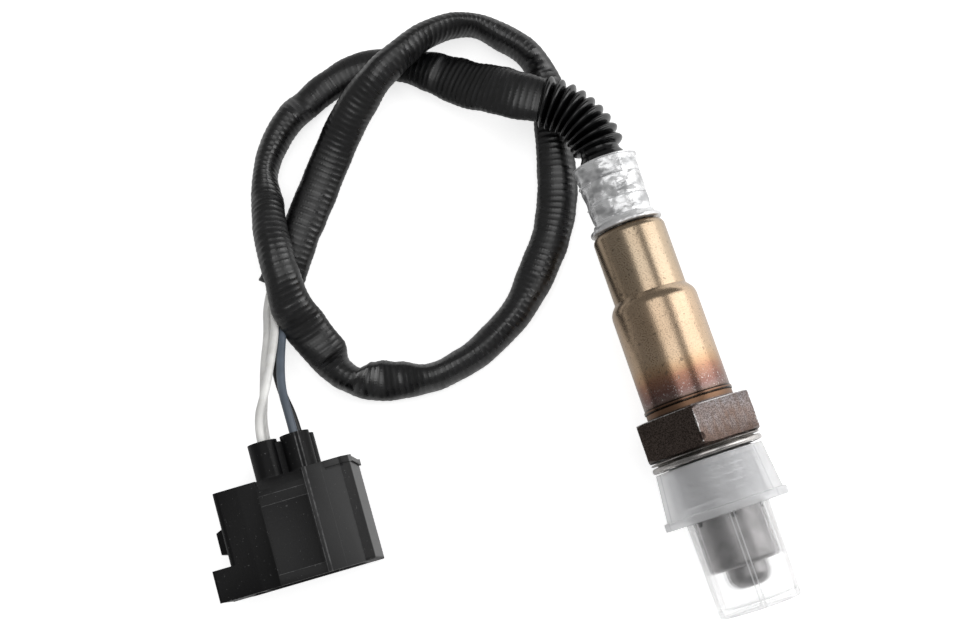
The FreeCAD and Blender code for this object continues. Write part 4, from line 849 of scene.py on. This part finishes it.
def heat_tinted_steel():
    """Shell steel: warm grey, with the weld's colours and two black lines near its foot."""
    finish = Finish("tinted_steel", metallic=1.0)
    along = finish.reach(1)
    drift = (finish.grain(5.0, 3.0) * 2 - 1) * finish.band(along, BLACK_LINES_END, 12.0)
    tint = finish.ramp(finish.band(along + drift, TINT_START, TINT_END), [
        (0.00, (0.010, 0.008, 0.007)),
        (0.046, (0.010, 0.008, 0.007)),
        (0.056, (0.16, 0.09, 0.06)),
        (0.076, (0.16, 0.09, 0.06)),
        (0.084, (0.012, 0.009, 0.008)),
        (0.102, (0.012, 0.009, 0.008)),
        (0.112, (0.13, 0.085, 0.07)),
        (0.145, (0.18, 0.125, 0.112)),
        (0.21, (0.19, 0.118, 0.108)),
        (0.28, (0.185, 0.098, 0.082)),
        (0.36, (0.215, 0.112, 0.09)),
        (0.46, (0.26, 0.13, 0.092)),
        (0.55, (0.33, 0.17, 0.11)),
        (0.65, (0.41, 0.25, 0.15)),
        (0.75, (0.475, 0.315, 0.195)),
        (0.87, (0.52, 0.38, 0.255)),
        (1.00, (0.53, 0.395, 0.275)),
    ])
    upper = finish.band(along, 27.0, 36.0)
    cloud = finish.band(finish.grain(7.0, 4.0, stretch=(1, 0.5, 1)), 0.45, 0.7)
    specks = finish.patches(0.2, 4.0, 0.52, 0.72)
    marks = finish.patches(0.7, 4.0, 0.62, 0.68)
    low = finish.band(along, BLACK_LINES_END, 10.2) * (1 - finish.band(along, 12.0, 14.5))
    dust = finish.patches(0.35, 3.0, 0.6, 0.7) * low
    colour = finish.blend(upper, tint, (0.445, 0.35, 0.25))
    colour = finish.blend(cloud * 0.4, colour, (0.36, 0.255, 0.165))
    colour = finish.blend(specks * 0.5, colour, (0.16, 0.115, 0.08))
    colour = finish.blend(marks * 0.6, colour, (0.12, 0.09, 0.065))
    colour = finish.blend(dust * 0.7, colour, (0.66, 0.6, 0.58))
    finish.put(base_color=colour,
               roughness=0.25 + specks * 0.12,
               normal=finish.relief(finish.grain(0.3, 3.0), 0.016))
    return finish


# A dent in the hexagon's top edge, darkened in its colour as painted shade.
DENT = (-1.4, 1.5, 12.6)


def plated_steel():
    """Hexagon and thread: speckled dark film on the face away from the light and lighter worn grey
    on the lit face, which is painted light and shade, and bright at its edges.
    """
    finish = Finish("plated_steel", metallic=0.95)
    across, along, up = (finish.reach(axis) for axis in range(3))
    speckle = finish.grain(0.24, 4.0)
    patch = finish.grain(2.6, 5.0)
    streak = finish.grain(0.8, 3.0, stretch=(1, 0.25, 1))
    radius = (across ** 2 + up ** 2) ** 0.5
    toward_lit_side = across * math.cos(HEX_TURN) + up * math.sin(HEX_TURN)
    # Faces to -X get the dark film as painted shade, and faces to +X the lighter worn grey as
    # painted light.
    dark = finish.blend(finish.band(speckle, 0.4, 0.62), (0.04, 0.03, 0.025),
                        (0.13, 0.102, 0.088))
    lit_worn_side = finish.blend(finish.band(patch * 0.6 + streak * 0.9 + along * 0.06, 0.75, 1.35),
                        (0.17, 0.12, 0.10), (0.25, 0.232, 0.236))
    lit_worn_side = finish.blend(finish.band(speckle, 0.44, 0.56) * 0.7, lit_worn_side, (0.075, 0.055, 0.047))
    colour = finish.blend(finish.band(toward_lit_side + speckle * 0.5, 0.1, 0.4), dark, lit_worn_side)
    ragged = speckle * 0.5 + patch * 0.3
    corners = finish.band(radius + ragged, 13.03, 13.12)
    top_edge = finish.band(along + ragged, 7.73, 7.85) * finish.band(radius, 10.4, 10.8)
    colour = finish.blend(finish.band(corners + top_edge, 0, 1), colour, (0.62, 0.61, 0.60))
    from_dent = finish.node("ShaderNodeVectorMath", {"operation": "DISTANCE"},
                            {0: finish.place, 1: Vector(DENT) * MM}, output=1)
    dent_with_shade = 1 - finish.band(from_dent, 0.4 * MM, 0.9 * MM)
    # Painted shade: the dent's colour is darkened, besides its bump.
    colour = finish.blend(dent_with_shade, colour, (0.05, 0.035, 0.03))
    colour = finish.blend(finish.band(along, 7.8, 8.1), colour, (0.20, 0.115, 0.07))
    colour = finish.blend(finish.band(along, THREAD_END, -0.3), (0.68, 0.68, 0.69), colour)
    finish.put(base_color=colour,
               roughness=0.32 + speckle * 0.2,
               normal=finish.relief(speckle - dent_with_shade * 8, 0.02))
    return finish


def bright_aluminium():
    """Collar: bright metal with fine lines and soft lumps round it, and darker, glossier patches
    of painted shade.
    """
    finish = Finish("collar_aluminium", metallic=0.45)
    lines = finish.grain(0.25, 3.0, stretch=(1, 6, 1))
    shade_patches = finish.grain(3.6, 2.0, stretch=(1, 1.8, 1))
    foot = 1 - finish.band(finish.reach(1), 46.2, 47.5)
    # The soft darker patches are painted shade on the crimped wall.
    colour = finish.blend(finish.band(shade_patches, 0.45, 0.66) * 0.85, (0.90, 0.903, 0.91),
                          (0.40, 0.403, 0.41))
    lumps = finish.relief(finish.grain(2.6, 1.5, stretch=(1, 1.6, 1)), 0.6)
    finish.put(base_color=finish.blend(foot, colour, (0.80, 0.80, 0.805)),
               roughness=0.34 - shade_patches * 0.14 - foot * 0.1,
               normal=finish.relief(lines, 0.008, over=lumps))
    return finish


def ring_steel(name, colour, rough):
    """Plain sheet steel with drawing lines."""
    finish = Finish(name, metallic=1.0)
    fine = finish.grain(0.3, 2.0, stretch=(1, 5, 1))
    darker = tuple(part * 0.62 for part in colour)
    finish.put(base_color=finish.blend(finish.patches(3.0, 3.0, 0.4, 0.7), colour, darker),
               roughness=rough + fine * 0.12,
               normal=finish.relief(fine, 0.008))
    return finish


def moulded(name, colour, rough, grain_size=0.35, grain_depth=0.02):
    """Moulded plastic or rubber with a fine eroded grain."""
    finish = Finish(name)
    grain = finish.grain(grain_size)
    lighter = tuple(part * 1.35 + 0.002 for part in colour)
    finish.put(base_color=finish.blend(finish.patches(4.0, 3.0, 0.4, 0.7), colour, lighter),
               roughness=rough + grain * 0.12,
               normal=finish.relief(grain, grain_depth))
    return finish


def ceramic(name, colour):
    """Sintered ceramic with a dry, even grain."""
    return moulded(name, colour, 0.62, 0.2, 0.012)


def wire_skin(name, colour):
    """Extruded wire insulation with a soft sheen."""
    return moulded(name, colour, 0.34, 0.5, 0.006)


# The plug's own frame: the foot of its mating face, and how it is turned on the floor.
PLUG_SEAT = (-79.0, 0.0, FLOOR)
PLUG_TURN = math.radians(-2.2)
# Pale lines on the plug: place, half width and strength. The two on its ridge are painted
# highlights on the ridge's edges. The second list crosses its panel.
PLUG_LINES = [(3.8, 0.12, 1.0), (4.55, 0.12, 1.0), (7.4, 0.03, 0.35), (11.0, 0.03, 0.4)]
PANEL_LINES = [(15.3, 0.05, 1.0), (17.25, 0.04, 1.0), (2.0, 0.04, 1.0)]


def plug_moulding():
    """Plug plastic: matt, with painted light and shade from face to face, painted highlights as
    pale lines along its ridge, and pale lines along its panel's edges.
    """
    finish = Finish("plug_plastic", specular_ior_level=0.22)
    seat = finish.node("ShaderNodeMapping", {"vector_type": "TEXTURE"},
                       {"Vector": finish.place, "Location": Vector(PLUG_SEAT) * MM,
                        "Rotation": (0, 0, PLUG_TURN)})
    across, along = (finish.reach(axis, seat) for axis in range(2))
    grain = finish.grain(0.3, 3.0)

    def pale_lines(level, rows):
        return sum(finish.stripe(level, middle, half, 0.09, grain * 0.08) * strength
                   for middle, half, strength in rows)

    # Painted light and shade across the plug: darkest on its rail to -X, lighter over its panel
    # and right part, and its right wall lightest, as lit from +X.
    face_shading = finish.ramp(finish.band(across, -18.0, 13.4), [
        (0.00, (0.003, 0.003, 0.0034)),
        (0.27, (0.003, 0.003, 0.0034)),
        (0.28, (0.006, 0.006, 0.0064)),
        (0.385, (0.006, 0.006, 0.0064)),
        (0.395, (0.017, 0.017, 0.0175)),
        (0.69, (0.017, 0.017, 0.0175)),
        (0.70, (0.036, 0.036, 0.0365)),
        (0.92, (0.068, 0.068, 0.0685)),
        (0.925, (0.010, 0.010, 0.0104)),
        (0.980, (0.020, 0.020, 0.0205)),
        (0.984, (0.19, 0.19, 0.191)),
    ])
    # The barrels behind its rear face get plain black instead of the painted shading.
    face_shading = finish.blend(finish.band(along, 20.6, 20.8), face_shading, (0.005, 0.005, 0.0055))
    on_panel = finish.band(across, -5.6, -5.4) * (1 - finish.band(across, 3.6, 3.8))
    lines = pale_lines(across, PLUG_LINES) + pale_lines(along, PANEL_LINES) * on_panel
    broken = finish.patches(1.1, 4.0, 0.38, 0.6)
    shown = finish.band(lines * (broken * 0.7 + 0.3), 0, 1)
    dust = finish.patches(0.5, 3.0, 0.68, 0.72)
    colour = finish.blend(shown, face_shading, (0.15, 0.15, 0.152))
    finish.put(base_color=finish.blend(dust * 0.6, colour, (0.12, 0.12, 0.12)),
               roughness=0.40 + grain * 0.14,
               normal=finish.relief(finish.grain(0.28), 0.03))
    return finish


# Threads in the sleeve's weave, once round it.
THREADS_ROUND = 46


def sleeve_weave():
    """Black varnished sleeve: threads along the ribs, with the gloss broken into cells, and
    painted highlights on the rib crests in those cells.
    """
    finish = Finish("sleeve_weave", specular_ior_level=0.75)
    around = finish.node("ShaderNodeUVMap", {"uv_map": "around"})
    turns = finish.part(around, 0)
    run = finish.part(around, 1) * UV_RUN
    rib = finish.reckon("COSINE", run * (WHOLE_TURN / RIB_PITCH))
    thread = finish.reckon("SINE", turns * (WHOLE_TURN * THREADS_ROUND))
    strip = finish.node("ShaderNodeMapping", None, {"Vector": around, "Scale": (1.8, 40, 1)})
    shade = finish.node("ShaderNodeTexNoise", None, {"Vector": strip, "Scale": 1.0, "Detail": 3.0})
    cells = finish.grain(1.5)
    crest = finish.band(rib, -0.7, 1.0)
    dark = finish.band(shade, 0.42, 0.62)
    # Painted highlight: the rib crests within the cells are painted lighter.
    colour = finish.blend(crest * finish.band(cells, 0.42, 0.62), (0.0015, 0.0015, 0.0018),
                          (0.016, 0.016, 0.0175))
    woven = rib * 0.34 * finish.band(cells, 0.3, 0.7) + thread * 0.1 * crest
    finish.put(base_color=finish.blend(dark * 0.5, colour, (0.001, 0.001, 0.0012)),
               roughness=0.25 + dark * 0.14 - cells * 0.1 + (1 - crest) * 0.14,
               normal=finish.relief(finish.grain(0.3), 0.02, over=finish.relief(woven, 0.05)))
    return finish


# The cap's flange and foot along Y, and where the two lines of its seam, painted as white
# highlights, run across its tube.
FLANGE_UNDER, FLANGE_OVER = -13.6, -12.8
CAP_FOOT = -30.6
SEAM_HIGHLIGHT_ACROSS = (-0.72, 0.07)


def milky_plastic():
    """Transit cap: clear milky plastic with a fog on its cone, rim and foot, whiter fog along its
    mould seam as a painted highlight, and painted shade of its upper grip ribs on the cone.
    """
    finish = Finish("cap_plastic", ior=1.13, transmission_weight=0.84, coat_weight=0.08,
                    coat_roughness=0.06)
    across, along, up = (finish.reach(axis) for axis in range(3))
    cloud = finish.grain(5.0)
    cone = finish.band(along, FLANGE_UNDER, FLANGE_OVER)
    foot = 1 - finish.band(along, CAP_FOOT, CAP_FOOT + 0.4)
    rim = finish.band((across ** 2 + up ** 2) ** 0.5, 11.7, 11.9)
    # Painted shade of the two upper grip ribs greys the cone; the third rib lies underneath, so it
    # gets none.
    angle = finish.reckon("ARCTAN2", up, across)
    rib_shade = sum(finish.stripe(angle, math.radians(place), 0.016, 0.014) for place in GRIP_RIBS[:2])
    # Painted highlight: the two lines of the mould seam on top get a whiter fog.
    seam_highlight = sum(finish.stripe(across, place, 0.11, 0.08) for place in SEAM_HIGHLIGHT_ACROSS)
    seam_highlight = seam_highlight * finish.band(up, 7.9, 8.0) * (1 - cone)
    colour = finish.blend(cloud, (0.985, 0.987, 0.995), (0.995, 0.995, 0.995))
    finish.put(base_color=finish.blend(rib_shade * cone * 0.8, colour, (0.5, 0.51, 0.53)),
               roughness=0.08 + cloud * 0.08 + cone * 0.3,
               alpha=0.36 + cloud * 0.1 + cone * 0.15 + foot * 0.15,
               normal=finish.relief(finish.grain(1.6), 0.01))
    fog = cone * (0.06 + cloud * 0.16) + rim * 0.25 + seam_highlight * 0.4 + foot * 0.1 + 0.02
    dense = finish.node("ShaderNodeBsdfPrincipled", None,
                        {"Base Color": (0.93, 0.935, 0.95), "Roughness": 0.35})
    whole = finish.node("ShaderNodeMixShader", None,
                        {0: fog, 1: Level(finish, finish.shader.outputs[0]), 2: dense})
    finish.feed(finish.tree.nodes["Material Output"].inputs["Surface"], whole)
    return finish


FINISHES = {finish.name: finish for finish in (
    plated_steel(),
    ring_steel("gasket_steel", (0.52, 0.50, 0.48), 0.22),
    ring_steel("probe_steel", (0.27, 0.262, 0.262), 0.30),
    heat_tinted_steel(),
    bright_aluminium(),
    ring_steel("contact_metal", (0.62, 0.58, 0.48), 0.25),
    ring_steel("terminal_metal", (0.70, 0.69, 0.66), 0.22),
    ceramic("element_ceramic", (0.72, 0.70, 0.66)),
    ceramic("white_ceramic", (0.80, 0.78, 0.74)),
    ceramic("powder", (0.42, 0.40, 0.37)),
    moulded("grommet_rubber", (0.018, 0.018, 0.018), 0.5),
    moulded("boot_rubber", (0.0015, 0.0015, 0.0018), 0.13, 0.5, 0.01),
    moulded("seal_rubber", (0.03, 0.03, 0.032), 0.5),
    milky_plastic(),
    sleeve_weave(),
    wire_skin("wire_white", (0.93, 0.925, 0.90)),
    wire_skin("wire_grey", (0.12, 0.145, 0.18)),
    wire_skin("wire_black", (0.010, 0.010, 0.011)),
    plug_moulding(),
    moulded("lock_plastic", (0.02, 0.02, 0.021), 0.42),
)}


def numbered(name):
    """The names of four pieces of a kind."""
    return [f"{name}_{number}" for number in range(1, 5)]


# CAD nodes that keep their own form, by their finish.
KEPT_NODES = {
    "probe_steel": ["outer_probe_tube", "inner_probe_tube", "disc_spring", "contact_clip"],
    "contact_metal": numbered("contact"),
    "terminal_metal": numbered("terminal"),
    "element_ceramic": ["sensing_element"],
    "white_ceramic": ["lower_ceramic_bush", "upper_ceramic_bush", "contact_carrier_upper",
                      "contact_carrier_lower"],
    "powder": ["powder_seal"],
    "grommet_rubber": ["cable_grommet"],
    "seal_rubber": numbered("wire_seal") + ["front_seal"],
    "wire_white": ["lead_1", "lead_2"],
    "wire_grey": ["lead_3"],
    "wire_black": ["lead_4"],
    "lock_plastic": ["secondary_lock"],
}


# The studio and the sensor, put together

bpy.context.scene.view_settings.view_transform = "Standard"
stand_camera()
lay_floor()
light_world()
hang_lamp("top_box", (-20, 150, 1200), (820, 900), 3.5)
hang_lamp("right_box", (1075, 80, 540), (900, 1140), 8.0)

make_sleeve()
plug = settle(merged_copy("connector_housing", "plug", edge=0.16, corner=0.6),
              "connector_housing", "plug_plastic")
for wire_node in WIRES:
    make_wire(wire_node)
make_boot()
make_collar()
make_hex_body()
make_gasket()
make_cap()
settle(merged_copy("shell_tube", "shell", degrees=35), "shell_tube", "tinted_steel")
for slot_name, nodes in KEPT_NODES.items():
    for node_name in nodes:
        paint_node(node_name, FINISHES[slot_name])
